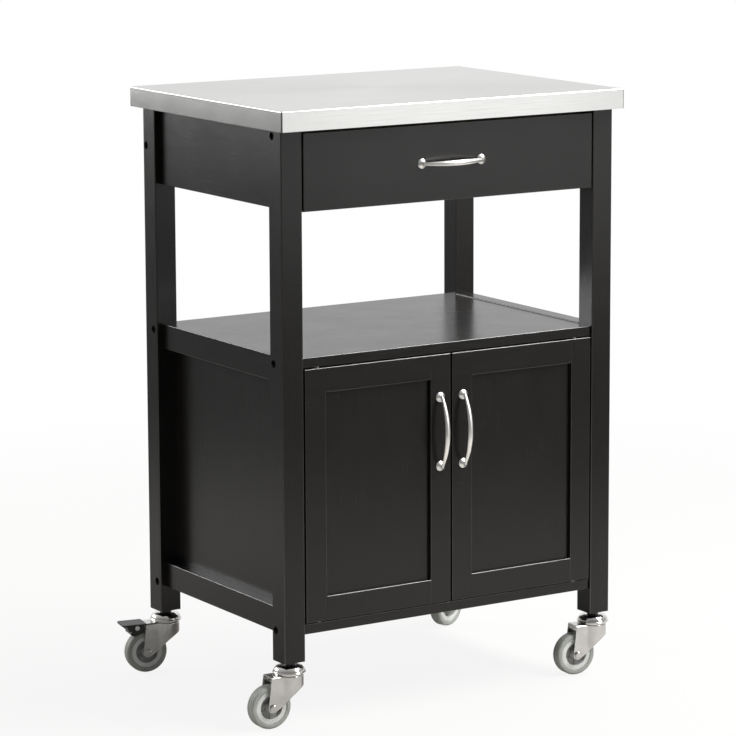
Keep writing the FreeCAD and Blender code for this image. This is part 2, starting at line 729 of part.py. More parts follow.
# Bow handle, standing upright: feet on a face in the XZ plane, the bow in front of it at -Y.
def makeHandleForm():
    halfPitch = dim.handlePitch / 2
    arcRadius = (halfPitch * halfPitch + dim.bowRise * dim.bowRise) / (2 * dim.bowRise)
    arcCentre = dim.bowStand + dim.bowRise - arcRadius
    steps = 4
    sections = []
    for step in range(-steps, steps + 1):
        share = step / steps
        along = share * halfPitch
        section = doc.addObject("Part::Ellipse", f"bow_section{step + steps}")
        taper = share * share
        bind(
            section,
            MajorRadius=dim.bowWidth / 2 - taper * (dim.bowWidth - dim.bowTipWidth) / 2,
            MinorRadius=dim.bowThickness / 2 - taper * (dim.bowThickness - dim.bowTipThickness) / 2,
        )
        out = arcCentre + root(arcRadius * arcRadius - along * along)
        bindTurned(section, (0, -out, along), "x", f"-asin({along} / {arcRadius})")
        sections.append(section)
    bow = doc.addObject("Part::Loft", "bow")
    bow.Sections = sections
    bow.Solid = True

    pieces = [bow]
    for foot, end in (("upper", 1), ("lower", -1)):
        rim = doc.addObject("Part::Cylinder", f"{foot}_foot_rim")
        bind(rim, Radius=dim.footRadius, Height=dim.footRim)
        bindPlace(rim, (0, 0, end * halfPitch), TURNS["-y"])
        cone = doc.addObject("Part::Cone", f"{foot}_foot_cone")
        bind(cone, Radius1=dim.footRadius, Radius2=dim.neckRadius, Height=dim.footHeight - dim.footRim)
        bindPlace(cone, (0, -dim.footRim, end * halfPitch), TURNS["-y"])
        pieces += [rim, cone]
    handle = doc.addObject("Part::MultiFuse", "handle_form")
    handle.Shapes = pieces
    return handle


# Drawer: a front, two sides, a back and a bottom in grooves.
drawerBottom = postTop - dim.drawerTopGap - dim.drawerFrontHeight
drawerSideOuter = postInner - dim.runnerSpace
drawerSideInner = drawerSideOuter - dim.boxWall
boxBottom = drawerBottom + dim.boxLift
boxBack = frontBack + dim.boxLength
floorUnderside = boxBottom + dim.boxFloorLift
floorTop = floorUnderside + dim.boxFloor
floorEdge = drawerSideInner + dim.grooveDepth
floorFront = frontBack - dim.grooveDepth


def makeDrawer(handleForm):
    halfFront = postInner - dim.drawerSideGap
    front = Piece("drawer_front", (-halfFront, frontFace, drawerBottom))
    front.block(front.origin, (halfFront, frontBack, drawerBottom + dim.drawerFrontHeight))
    front.ease(dim.woodEase, lambda edge: edge.BoundBox.YMax < touching)
    front.cutBlock((-floorEdge, floorFront, floorUnderside), (floorEdge, frontBack, floorTop))
    front.node()

    for sideName, side in SIDES.items():
        lowX, highX = spanX(side, drawerSideInner, drawerSideOuter)
        wall = Piece(f"drawer_{sideName}_side", (lowX, frontBack, boxBottom))
        wall.block(wall.origin, (highX, boxBack, boxBottom + dim.boxHeight))
        wall.easeLong(dim.woodEase, "y", ["-x+z", "+x+z"])
        grooveX = spanX(side, drawerSideInner, floorEdge)
        wall.cutBlock((grooveX[0], frontBack, floorUnderside), (grooveX[1], boxBack, floorTop))
        wall.node()

    back = Piece("drawer_back", (-drawerSideInner, boxBack - dim.boxWall, floorTop))
    back.block(back.origin, (drawerSideInner, boxBack, boxBottom + dim.boxHeight))
    back.easeLong(dim.woodEase, "x", ["-y+z", "+y+z"])
    back.node()

    floorSide = floorEdge - dim.panelPlay
    floor = Piece("drawer_bottom", (-floorSide, floorFront + dim.panelPlay, floorUnderside))
    floor.block(floor.origin, (floorSide, boxBack, floorTop))
    floor.node()

    middle = drawerBottom + dim.drawerFrontHeight / 2
    handle = copyOf("drawer_handle", [handleForm], (0, frontFace, middle), Rotation(AXES["y"], 90))
    nodes.append(handle)


# Runners: an outer channel on the apron, a sliding member on the drawer and balls in a cage between.
def makeRunners():
    startY = frontBack + dim.runnerSetback
    centreZ = drawerBottom + dim.runnerLift
    halfChannel = dim.runnerHeight / 2
    ballLine = halfChannel - dim.runnerGauge - dim.ballRadius - dim.fitGap
    halfSlide = ballLine - dim.ballRadius - dim.fitGap
    gauge = dim.runnerGauge
    cageLength = dim.runnerLength - dim.drawerTravel - 2 * dim.cageMargin
    cageStart = startY + dim.cageMargin + dim.drawerTravel / 2
    cageOuter = postInner - gauge - dim.cageRoom
    ballX = drawerSideOuter + dim.ballInset
    cageLip = ballX - dim.ballRadius - dim.cageLip
    halfCage = ballLine + dim.cageGauge / 2
    channels = []
    slides = []
    cages = []
    for sideName, side in SIDES.items():
        endY = startY + dim.runnerLength
        lowX, highX = spanX(side, postInner - dim.runnerDepth, postInner)
        channel = Piece(f"{sideName}_channel", (lowX, startY, centreZ - halfChannel))
        channel.block(channel.origin, (highX, endY, centreZ + halfChannel))
        lowX, highX = spanX(side, postInner - dim.runnerDepth, postInner - gauge)
        inside = halfChannel - gauge
        channel.cutBlock((lowX, startY, centreZ - inside), (highX, endY, centreZ + inside))
        channels.append(channel.body)

        lowX, highX = spanX(side, drawerSideOuter, drawerSideOuter + dim.slideDepth)
        slide = Piece(f"{sideName}_slide", (lowX, startY, centreZ - halfSlide))
        slide.block(slide.origin, (highX, endY, centreZ + halfSlide))
        lowX, highX = spanX(side, drawerSideOuter + gauge, drawerSideOuter + dim.slideDepth)
        inside = halfSlide - gauge
        slide.cutBlock((lowX, startY, centreZ - inside), (highX, endY, centreZ + inside))
        slides.append(slide.body)

        lowX, highX = spanX(side, cageLip, cageOuter)
        cage = Piece(f"{sideName}_cage", (lowX, cageStart, centreZ - halfCage))
        cage.block(cage.origin, (highX, cageStart + cageLength, centreZ + halfCage))
        lowX, highX = spanX(side, cageLip, cageOuter - dim.cageGauge)
        inside = halfCage - dim.cageGauge
        cage.cutBlock((lowX, cageStart, centreZ - inside), (highX, cageStart + cageLength, centreZ + inside))
        balls = []
        for row in (-1, 1):
            spot = (side * ballX, cageStart + dim.cageEnd, centreZ + row * ballLine)
            balls.append(cage.feature("AdditiveSphere", spot, Radius=dim.ballRadius))
        doc.recompute()
        rowLength = cageLength - 2 * dim.cageEnd
        pattern = cage.feature("LinearPattern")
        pattern.Originals = balls
        pattern.Direction = (cage.ownOrigin("Y_Axis"), [""])
        gaps = Length(f"floor({rowLength} / {dim.ballPitch})")
        bind(pattern, Length=gaps * dim.ballPitch, Occurrences=gaps + 1)
        cage.body.Tip = pattern
        cages.append(cage.body)
    group("runner_channels", channels)
    group("runner_slides", slides)
    group("ball_cages", cages)


# Door: two stiles and two rails round a panel. Distances are from the middle of the cart.
doorFree = dim.doorMeetGap / 2
doorHinge = postInner - dim.doorSideGap
doorBottom = bottomTop + dim.doorBottomGap
doorTop = shelfUnderside - dim.doorTopGap
doorPanelFront = frontFace + dim.doorPanelInset
doorPanelBack = doorPanelFront + dim.doorPanelThickness


def makeStile(name, side, near, far, grooveNear, grooveFar):
    lowX, highX = spanX(side, near, far)
    stile = Piece(name, (lowX, frontFace, doorBottom))
    stile.block(stile.origin, (highX, frontBack, doorTop))
    stile.ease(dim.woodEase, lambda edge: edge.BoundBox.YMax < touching)
    lowX, highX = spanX(side, grooveNear, grooveFar)
    stile.cutBlock((lowX, doorPanelFront, doorBottom), (highX, doorPanelBack, doorTop))
    return stile


def makeDoorRail(name, side, low, high, grooveLow, grooveHigh):
    inner = doorFree + dim.stileWidth
    outer = doorHinge - dim.stileWidth
    tongue = dim.grooveDepth - dim.panelPlay
    lowX, highX = spanX(side, inner, outer)
    rail = Piece(name, (lowX, frontFace, low))
    rail.block(rail.origin, (highX, frontBack, high))
    rail.easeLong(dim.woodEase, "x", ["-y-z", "-y+z"])
    lowX, highX = spanX(side, inner - tongue, outer + tongue)
    rail.block((lowX, doorPanelFront, low), (highX, doorPanelBack, high))
    rail.cutBlock((lowX, doorPanelFront, grooveLow), (highX, doorPanelBack, grooveHigh))
    return rail


def makeDoor(sideName, side, handleForm, pinForms):
    name = f"{sideName}_door"
    freeInner = doorFree + dim.stileWidth
    hingeInner = doorHinge - dim.stileWidth
    groove = dim.grooveDepth
    free = makeStile(f"{name}_free_stile", side, doorFree, freeInner, freeInner - groove, freeInner)
    hinge = makeStile(f"{name}_hinge_stile", side, hingeInner, doorHinge, hingeInner, hingeInner + groove)
    pinHole = (dim.pivotRadius + dim.fitGap, dim.pivotGrip)
    hinge.bore((side * pivotX, pivotY, doorBottom), "+z", *pinHole)
    hinge.bore((side * pivotX, pivotY, doorTop), "-z", *pinHole)
    topLow = doorTop - dim.doorRailWidth
    bottomHigh = doorBottom + dim.doorRailWidth
    upper = makeDoorRail(f"{name}_top_rail", side, topLow, doorTop, topLow, topLow + groove)
    lower = makeDoorRail(
        f"{name}_bottom_rail", side, doorBottom, bottomHigh, bottomHigh - groove, bottomHigh
    )
    group(f"{name}_frame", [free.body, hinge.body, upper.body, lower.body])

    hold = groove - dim.panelPlay
    lowX, highX = spanX(side, freeInner - hold, hingeInner + hold)
    panel = Piece(f"{name}_panel", (lowX, doorPanelFront, bottomHigh - hold))
    panel.block(panel.origin, (highX, doorPanelBack, topLow + hold))
    panel.node()

    handleX = side * (doorFree + dim.doorHandleInset)
    nodes.append(copyOf(f"{name}_handle", [handleForm], (handleX, frontFace, doorTop - dim.doorHandleDrop)))

    lowerPin = copyOf(f"{name}_lower_pin", [pinForms["lower"]], (side * pivotX, pivotY, doorBottom))
    upperSpot = (side * pivotX, pivotY, doorTop)
    upperPin = copyOf(f"{name}_upper_pin", [pinForms["upper"]], upperSpot, TURNS["-z"])
    group(f"{name}_pivots", [lowerPin, upperPin])

    lowX, highX = spanX(side, doorFree + dim.strikeInset, doorFree + dim.strikeInset + dim.strikeWidth)
    high = doorTop - dim.strikeDrop
    strike = Piece(f"{name}_strike", (lowX, frontBack, high - dim.strikeHeight))
    strike.block(strike.origin, (highX, frontBack + dim.strikeThickness, high))
    strike.node()


# Pivot pin: the door's edge is at zero, its grip goes up and its shoulder and tip go down.
def makePinForm(name, gap):
    collar = gap - dim.collarGap
    pin = Piece(name)
    pin.rod((0, 0, 0), "+z", dim.pivotRadius, dim.pivotGrip)
    pin.rod((0, 0, 0), "-z", dim.pivotRadius, dim.pivotReach)
    pin.rod((0, 0, 0), "-z", dim.collarRadius, collar)
    return pin.body


def makeDoors(handleForm):
    pinForms = {
        "lower": makePinForm("lower_pin_form", dim.doorBottomGap),
        "upper": makePinForm("upper_pin_form", dim.doorTopGap),
    }
    for sideName, side in SIDES.items():
        makeDoor(sideName, side, handleForm, pinForms)

    bush = Piece("bush_form")
    bush.rod((0, 0, 0), "-z", dim.bushRadius, dim.bushLength)
    bush.rod((0, 0, 0), "-z", dim.bushFlangeRadius, dim.bushFlange)
    bush.bore((0, 0, 0), "-z", dim.pivotRadius + dim.runGap, dim.bushLength)
    bushes = []
    for sideName, side in SIDES.items():
        bushes.append(copyOf(f"lower_{sideName}_bush", [bush.body], (side * pivotX, pivotY, bottomTop)))
        upperSpot = (side * pivotX, pivotY, shelfUnderside)
        bushes.append(copyOf(f"upper_{sideName}_bush", [bush.body], upperSpot, TURNS["-z"]))
    group("pivot_bushes", bushes)

    catchFront = frontBack + dim.strikeThickness + dim.strikeGap
    catch = Piece("door_catch", (-dim.catchWidth / 2, catchFront, shelfUnderside - dim.catchHeight))
    catch.block(catch.origin, (dim.catchWidth / 2, catchFront + dim.catchDepth, shelfUnderside))
    catch.easeLong(dim.woodEase, "z")
    catch.node()


# Caster pieces are drawn with the swivel axis on Z, the floor at zero and the wheel towards -X.
halfFork = dim.forkWidth / 2
insideFork = halfFork - dim.forkGauge
axleSpot = (-dim.casterTrail, dim.wheelRadius)
pedalPinX = -dim.casterTrail - dim.pedalPinBack


# Wheel disc with rim and hub, turned about Y, with its centre at zero.
def makeHubForm():
    bore = dim.axleRadius + dim.runGap
    halfHub = insideFork - dim.hubPlay
    rimRadius = dim.tyreBore - dim.fitGap
    halfRim = dim.rimWidth / 2
    halfWeb = dim.webThickness / 2
    outline = [
        (bore, -halfHub),
        (dim.hubRadius, -halfHub),
        (dim.hubRadius, -halfWeb),
        (dim.rimBore, -halfWeb),
        (dim.rimBore, -halfRim),
        (rimRadius, -halfRim),
        (rimRadius, halfRim),
        (dim.rimBore, halfRim),
        (dim.rimBore, halfWeb),
        (dim.hubRadius, halfWeb),
        (dim.hubRadius, halfHub),
        (bore, halfHub),
    ]
    hub = Piece("hub_form")
    hub.revolve(hub.sketch("XY_Plane", [outline]), "Y_Axis")
    return hub.body


def makeTyreForm():
    halfTyre = dim.wheelWidth / 2
    outline = [
        (dim.tyreBore, -halfTyre),
        (dim.wheelRadius, -halfTyre),
        (dim.wheelRadius, halfTyre),
        (dim.tyreBore, halfTyre),
    ]
    tyre = Piece("tyre_form")
    tyre.revolve(tyre.sketch("XY_Plane", [outline]), "Y_Axis")
    outside = number(dim.wheelRadius) * 2 - touching
    tyre.ease(dim.tyreShoulder, lambda edge: edge.BoundBox.XLength > outside and edge.BoundBox.YLength < touching)
    return tyre.body


# Side view of the fork: upright back edge, round eye at the axle, slanting edge up to a knee and
# from there a sweep up to the nose.
def forkOutline():
    top = dim.forkTop + dim.forkGauge
    backTop = (-dim.casterTrail - dim.forkTail, top)
    eyeBack = (axleSpot[0] - dim.forkEye, axleSpot[1])
    knee = (-dim.forkKneeBack, dim.forkKneeHeight)
    nose = (dim.forkNose, dim.forkTop - dim.forkNoseHeight)

    acrossX = knee[0] - axleSpot[0]
    acrossZ = knee[1] - axleSpot[1]
    square = acrossX * acrossX + acrossZ * acrossZ
    touch = root(square - dim.forkEye * dim.forkEye)
    eyeFront = (
        axleSpot[0] + dim.forkEye * (dim.forkEye * acrossX + touch * acrossZ) / square,
        axleSpot[1] + dim.forkEye * (dim.forkEye * acrossZ - touch * acrossX) / square,
    )

    sweepX = nose[0] - knee[0]
    sweepZ = nose[1] - knee[1]
    chord = root(sweepX * sweepX + sweepZ * sweepZ)
    sweepRadius = (chord * chord / 4 + dim.forkSweep * dim.forkSweep) / (2 * dim.forkSweep)
    inset = (sweepRadius - dim.forkSweep) / chord
    sweepCentre = ((knee[0] + nose[0]) / 2 + inset * sweepZ, (knee[1] + nose[1]) / 2 - inset * sweepX)

    farX = nose[0] + dim.forkGauge
    points = [backTop, eyeBack, eyeFront, knee, nose, (farX, nose[1]), (farX, top)]
    return points, [(0, 1, axleSpot, dim.forkEye), (0, 3, sweepCentre, sweepRadius)]


# Fork pressed from sheet: two side plates that run into a round front, under a flat top.
def makeForkForm(name, withEars):
    low = dim.wheelRadius - 2 * dim.forkEye
    back = -dim.casterTrail - 2 * dim.forkEye
    ceiling = dim.forkTop - dim.forkGauge
    fork = Piece(name)
    fork.rod((0, 0, low), "+z", dim.forkNose, dim.forkTop - low)
    fork.block((back, -halfFork, low), (0, halfFork, dim.forkTop))

    def isCrease(edge):
        box = edge.BoundBox
        margin = number(dim.forkGauge)
        upright = box.ZLength > number(dim.forkNoseHeight)
        return upright and box.XMin > number(back) + margin and box.XMax < -margin

    fork.ease(dim.forkCrease, isCrease)

    def isTopEdge(edge):
        box = edge.BoundBox
        return box.ZMin > number(dim.forkTop) - touching and box.XMax > number(back) + touching

    fork.ease(dim.forkBend, isTopEdge)
    fork.bore((0, 0, low), "+z", dim.forkNose - dim.forkGauge, ceiling - low)
    fork.cutBlock((back, -insideFork, low), (0, insideFork, ceiling))
    points, arcs = forkOutline()
    farX = dim.forkNose + 2 * dim.forkGauge
    frame = [
        (back - dim.forkEye, low - dim.forkEye),
        (farX, low - dim.forkEye),
        (farX, dim.forkTop + 2 * dim.forkGauge),
        (back - dim.forkEye, dim.forkTop + 2 * dim.forkGauge),
    ]
    fork.pocket(fork.sketch("XZ_Plane", [points, frame], arcs), 3 * dim.forkNose)
    fork.bore((0, 0, low), "+z", dim.kingPinRadius + dim.runGap, dim.forkTop - low)
    axleHole = (axleSpot[0], -halfFork, axleSpot[1])
    fork.bore(axleHole, "+y", dim.axleRadius + dim.fitGap, dim.forkWidth)
    if withEars:
        addPedalEars(fork, ceiling)
    return fork.body


# Ears behind the fork that hold the brake pedal's riveted pin.
def addPedalEars(fork, ceiling):
    halfEars = dim.earWidth / 2
    insideEars = halfEars - dim.earGauge
    for low, high in ((insideEars, halfEars), (-halfEars, -insideEars)):
        fork.block(
            (pedalPinX, low, ceiling - dim.earHeight), (-dim.casterTrail + dim.earRoot, high, ceiling)
        )
        fork.rod((pedalPinX, low, dim.pedalPinHeight), "+y", dim.earReach, dim.earGauge)
    rivet = halfEars + dim.pedalPlay + dim.cheekThickness + dim.pedalPlay
    fork.rod((pedalPinX, -rivet, dim.pedalPinHeight), "+y", dim.pedalPinRadius, 2 * rivet)
    fork.rod((pedalPinX, rivet, dim.pedalPinHeight), "+y", dim.rivetRadius, dim.rivetHeight)
    fork.rod((pedalPinX, -rivet, dim.pedalPinHeight), "-y", dim.rivetRadius, dim.rivetHeight)


# Axle bolt through both side plates, with a domed head at each end.
def makeAxleForm():
    axle = Piece("axle_form")
    axle.rod((0, -halfFork, 0), "+y", dim.axleRadius, dim.forkWidth)
    axle.rod((0, halfFork, 0), "+y", dim.axleHeadRadius, dim.axleHeadHeight)
    axle.rod((0, -halfFork, 0), "-y", dim.axleHeadRadius, dim.axleHeadHeight)
    outer = number(halfFork + dim.axleHeadHeight) - touching
    axle.ease(dim.axleHeadHeight / 2, lambda edge: abs(edge.CenterOfMass.y) > outer)
    return axle.body


# Swivel head, fixed to the post: pin head, ball race, domed cap, nut and stem on one axis.
def makeStemForm():
    headTop = dim.forkTop - dim.forkGauge - dim.swivelGap
    raceBottom = dim.forkTop + dim.swivelGap
    raceTop = raceBottom + dim.raceHeight
    capTop = dim.postFoot - dim.nutHeight
    stemTop = dim.postFoot + dim.stemReach
    outline = [
        (0, headTop - dim.kingHeadHeight),
        (dim.kingHeadRadius, headTop - dim.kingHeadHeight),
        (dim.kingHeadRadius, headTop),
        (dim.kingPinRadius, headTop),
        (dim.kingPinRadius, raceBottom),
        (dim.raceRadius, raceBottom),
        (dim.raceRadius, raceTop),
        (dim.capRadius, raceTop),
        (dim.capRadius, capTop),
        (dim.stemRadius, capTop),
        (dim.stemRadius, stemTop),
        (0, stemTop),
    ]
    stem = Piece("stem_form")
    stem.revolve(stem.sketch("XZ_Plane", [outline]), "Z_Axis")
    rim = number(dim.capRadius) * 2 - touching
    high = number(capTop) - touching
    stem.ease(dim.capDome, lambda edge: edge.BoundBox.XLength > rim and edge.BoundBox.ZMin > high)
    nut = stem.feature("AdditivePrism", (0, 0, capTop), Circumradius=dim.nutRadius, Height=dim.nutHeight)
    nut.Polygon = 6
    return stem.body


def makeSocketForm():
    socket = Piece("socket_form")
    socket.rod((0, 0, dim.postFoot), "+z", dim.socketRadius, dim.socketLength)
    socket.bore((0, 0, dim.postFoot), "+z", dim.stemRadius + dim.fitGap, dim.socketLength)
    return socket.body


# Brake pedal in one piece: two cheeks with claws outside the ears, a shoe between them that
# follows the tyre, and a wider tread on top.
def makePedalForm():
    pinX = pedalPinX
    pinZ = dim.pedalPinHeight
    front = pinX + dim.treadFront
    back = pinX - dim.treadBack
    roof = pinZ + dim.earReach + dim.pedalPlay
    halfBody = dim.earWidth / 2 + dim.pedalPlay + dim.cheekThickness
    cheek = [
        (pinX + dim.cheekFront, roof),
        (pinX - dim.cheekBack, roof),
        (pinX - dim.clawBack, pinZ - dim.clawDrop),
        (pinX - dim.notchBack, pinZ - dim.notchDrop),
        (pinX - dim.lowClawBack, pinZ - dim.lowClawDrop),
        (pinX - dim.heelBack, pinZ - dim.heelDrop),
        (pinX + dim.cheekFront, pinZ - dim.cheekFrontDrop),
    ]
    pedal = Piece("pedal_form")
    pedal.pad(pedal.sketch("XZ_Plane", [cheek]), 2 * halfBody)
    halfTread = dim.treadWidth / 2
    pedal.block((back, -halfTread, roof), (front, halfTread, roof + dim.treadThickness))

    def isBackCorner(edge):
        box = edge.BoundBox
        return box.XMax < number(back) + touching and box.YLength < touching

    pedal.ease(dim.treadCorner, isBackCorner)

    halfRoom = dim.earWidth / 2 + dim.pedalPlay
    room = dim.earReach + dim.pedalPlay
    pedal.cutBlock((pinX - room, -halfRoom, pinZ - dim.shoeDrop), (front, halfRoom, roof))
    overTyre = (axleSpot[0], -halfRoom, axleSpot[1])
    pedal.bore(overTyre, "+y", dim.wheelRadius + dim.shoeGap, 2 * halfRoom)
    pedal.bore((pinX, -halfBody, pinZ), "+y", dim.pedalPinRadius + dim.runGap, 2 * halfBody)
    return pedal.body


def makeCasters():
    wheelSpot = (axleSpot[0], 0, axleSpot[1])
    hub = copyOf("hub_in_place", [makeHubForm()], wheelSpot)
    tyre = copyOf("tyre_in_place", [makeTyreForm()], wheelSpot)
    axle = copyOf("axle_in_place", [makeAxleForm()], wheelSpot)
    stem = makeStemForm()
    socket = makeSocketForm()
    pedal = makePedalForm()
    frontFork = makeForkForm("front_fork_form", False)
    rearFork = makeForkForm("rear_fork_form", True)
    casters = [
        ("front_left", LEFT, "front", dim.frontLeftSwivel),
        ("front_right", RIGHT, "front", dim.frontRightSwivel),
        ("rear_left", LEFT, "back", dim.rearLeftSwivel),
        ("rear_right", RIGHT, "back", dim.rearRightSwivel),
    ]
    stems = []
    sockets = []
    for name, side, end, swivel in casters:
        turning = {"fork": [frontFork, axle], "hub": [hub], "tyre": [tyre]}
        if end == "back":
            turning["fork"] = [rearFork, axle]
            turning["pedal"] = [pedal]
        head = (side * casterX, casterY[end], 0)
        for part, forms in turning.items():
            piece = copyOf(f"{name}_{part}", forms, head)
            bindTurned(piece, head, "z", swivel)
            nodes.append(piece)
        stems.append(copyOf(f"{name}_stem", [stem], head))
        sockets.append(copyOf(f"{name}_socket", [socket], head))
    group("caster_stems", stems)
    group("caster_sockets", sockets)


def checkModel():
    """Stops when an object of the document failed or a sub-part has no sound shape."""
    doc.recompute()
    faults = [item.Name for item in doc.Objects if {"Invalid", "Error"} & set(item.State)]
    for item in nodes:
        shape = item.Shape
        if shape.isNull() or not shape.isValid() or not shape.Solids:
            faults.append(item.Label + " (shape)")
    if faults:
        print("Failed objects:", ", ".join(faults))
        sys.exit(1)


makeWorktop()
makeFrame()
makeBoards()
makeFasteners()
handleForm = makeHandleForm()
makeDrawer(handleForm)
makeRunners()
makeDoors(handleForm)
makeCasters()
checkModel()

os.makedirs("parts", exist_ok=True)
for item in nodes:
    solids = item.Shape.Solids
    shape = solids[0] if len(solids) == 1 else Part.makeCompound(solids)
    shape.exportStep(f"parts/{item.Label}.step")
print(len(nodes), "sub-parts,", sum(len(item.Shape.Solids) for item in nodes), "solids")
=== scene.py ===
import json
import math

import bmesh
import bpy
from mathutils import Matrix, Vector


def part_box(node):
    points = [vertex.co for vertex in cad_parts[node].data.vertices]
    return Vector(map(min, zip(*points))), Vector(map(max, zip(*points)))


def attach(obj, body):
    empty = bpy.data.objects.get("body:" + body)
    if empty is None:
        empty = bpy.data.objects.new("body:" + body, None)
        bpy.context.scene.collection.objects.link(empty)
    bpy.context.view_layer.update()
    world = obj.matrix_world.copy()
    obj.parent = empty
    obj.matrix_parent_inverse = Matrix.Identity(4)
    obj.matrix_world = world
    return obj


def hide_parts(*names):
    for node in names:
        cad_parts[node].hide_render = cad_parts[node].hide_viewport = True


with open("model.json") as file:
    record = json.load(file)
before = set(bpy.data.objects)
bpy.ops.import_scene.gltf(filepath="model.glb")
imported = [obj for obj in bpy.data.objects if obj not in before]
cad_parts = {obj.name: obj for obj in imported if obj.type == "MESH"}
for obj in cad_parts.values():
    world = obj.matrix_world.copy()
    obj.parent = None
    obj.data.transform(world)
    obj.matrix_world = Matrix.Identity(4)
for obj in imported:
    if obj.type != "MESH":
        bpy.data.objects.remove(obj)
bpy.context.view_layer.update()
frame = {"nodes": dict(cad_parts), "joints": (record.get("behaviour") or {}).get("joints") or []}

# Kitchen cart on casters: the finish of its wood, steel, rubber and plastic, and the turned, pressed
# and moulded pieces that need rounder forms than the frame's own solids. Metres, front towards -Y.
nodes = frame["nodes"]
joints = {joint["name"]: joint for joint in frame["joints"]}
mm = 0.001
print("frame loaded:", len(nodes), "nodes")


# Materials. A colour is written as it looks on screen and turned to linear here.
def linear(hexColour):
    parts = [int(hexColour[i : i + 2], 16) / 255 for i in (1, 3, 5)]
    curved = (part / 12.92 if part <= 0.04045 else ((part + 0.055) / 1.055) ** 2.4 for part in parts)
    return (*curved, 1)


# Adds a node: settings are its properties, inputs maps socket to a value or to another node's output.
def addNode(tree, kind, settings=None, inputs=None):
    node = tree.nodes.new(kind)
    for name, value in (settings or {}).items():
        setattr(node, name, value)
    for socket, value in (inputs or {}).items():
        if isinstance(value, bpy.types.NodeSocket):
            tree.links.new(value, node.inputs[socket])
        else:
            node.inputs[socket].default_value = value
    return node


def startMaterial(name, **shader):
    material = bpy.data.materials.new(name)
    material.use_nodes = True
    tree = material.node_tree
    surface = tree.nodes["Principled BSDF"]
    for socket, value in shader.items():
        surface.inputs[socket.replace("_", " ")].default_value = value
    coords = addNode(tree, "ShaderNodeTexCoord")
    return material, tree, surface, coords.outputs["Object"]


# Noise in object coordinates. spacing is the size of its grains along X, Y and Z in millimetres.
def addNoise(tree, coords, spacing, detail=3, seed=0.0):
    scale = [1 / (length * mm) for length in spacing]
    place = addNode(
        tree, "ShaderNodeMapping", None, {"Vector": coords, "Scale": scale, "Location": (seed, seed, seed)}
    )
    return addNode(
        tree,
        "ShaderNodeTexNoise",
        None,
        {"Vector": place.outputs[0], "Scale": 1.0, "Detail": detail, "Roughness": 0.55},
    ).outputs["Fac"]


# One pattern times its weight, added to another.
def addSum(tree, pattern, weight, other):
    return addNode(
        tree, "ShaderNodeMath", {"operation": "MULTIPLY_ADD"}, {0: pattern, 1: weight, 2: other}
    ).outputs[0]


# Maps a pattern from one range of values to another.
def addRange(tree, value, fromLow, fromHigh, toLow, toHigh):
    return addNode(
        tree,
        "ShaderNodeMapRange",
        None,
        {0: value, 1: fromLow, 2: fromHigh, 3: toLow, 4: toHigh},
    ).outputs[0]


def addRamp(tree, value, stops):
    node = addNode(tree, "ShaderNodeValToRGB", None, {"Fac": value})
    ramp = node.color_ramp
    while len(ramp.elements) < len(stops):
        ramp.elements.new(0.5)
    for element, (place, hexColour) in zip(ramp.elements, stops):
        element.position = place
        element.color = linear(hexColour)
    return node.outputs["Color"]


def addBump(tree, surface, height, strength, distance):
    values = {"Height": height, "Strength": strength, "Distance": distance}
    bump = addNode(tree, "ShaderNodeBump", None, values)
    tree.links.new(bump.outputs[0], surface.inputs["Normal"])


lacquer = {
    "dark": "#100f0e",
    "light": "#1b1918",
    "mirror": 0.38,  # the flatting grains in the film scatter some of its mirror light
    # painted highlight: the paler colour given to the eased edges, where the lamps draw bright lines
    "edge": "#3b3936",
    "edgeMirror": 1.0,  # the eased edges mirror more strongly, and their paler colour above is a painted highlight
    "easedFully": 0.9,  # a face counts as eased where the largest part of its normal is below these
    "easedFrom": 0.985,
    "roughLow": 0.2,
    "roughHigh": 0.29,
    "poreLength": 38,  # pores are 5 mm long and 0.1 mm wide in fact, drawn coarser so that they show
    "poreWidth": 0.9,
    "poreDepth": 0.00008,
    "poreBump": 0.35,
    "figureTimes": 12,  # size of the grain's figure against the pores
    "figureWeight": 0.35,
    "cloudSize": 60,
    "cloudWeight": 0.5,
}


# Nought on faces that lie square to the piece's axes, one on the eased edges between them.
def addEased(tree):
    coords = addNode(tree, "ShaderNodeTexCoord")
    size = addNode(tree, "ShaderNodeVectorMath", {"operation": "ABSOLUTE"}, {0: coords.outputs["Normal"]})
    split = addNode(tree, "ShaderNodeSeparateXYZ", None, {0: size.outputs[0]})
    widest = split.outputs[0]
    for other in (1, 2):
        more = addNode(tree, "ShaderNodeMath", {"operation": "MAXIMUM"}, {0: widest, 1: split.outputs[other]})
        widest = more.outputs[0]
    return addRange(tree, widest, lacquer["easedFully"], lacquer["easedFrom"], 1.0, 0.0)


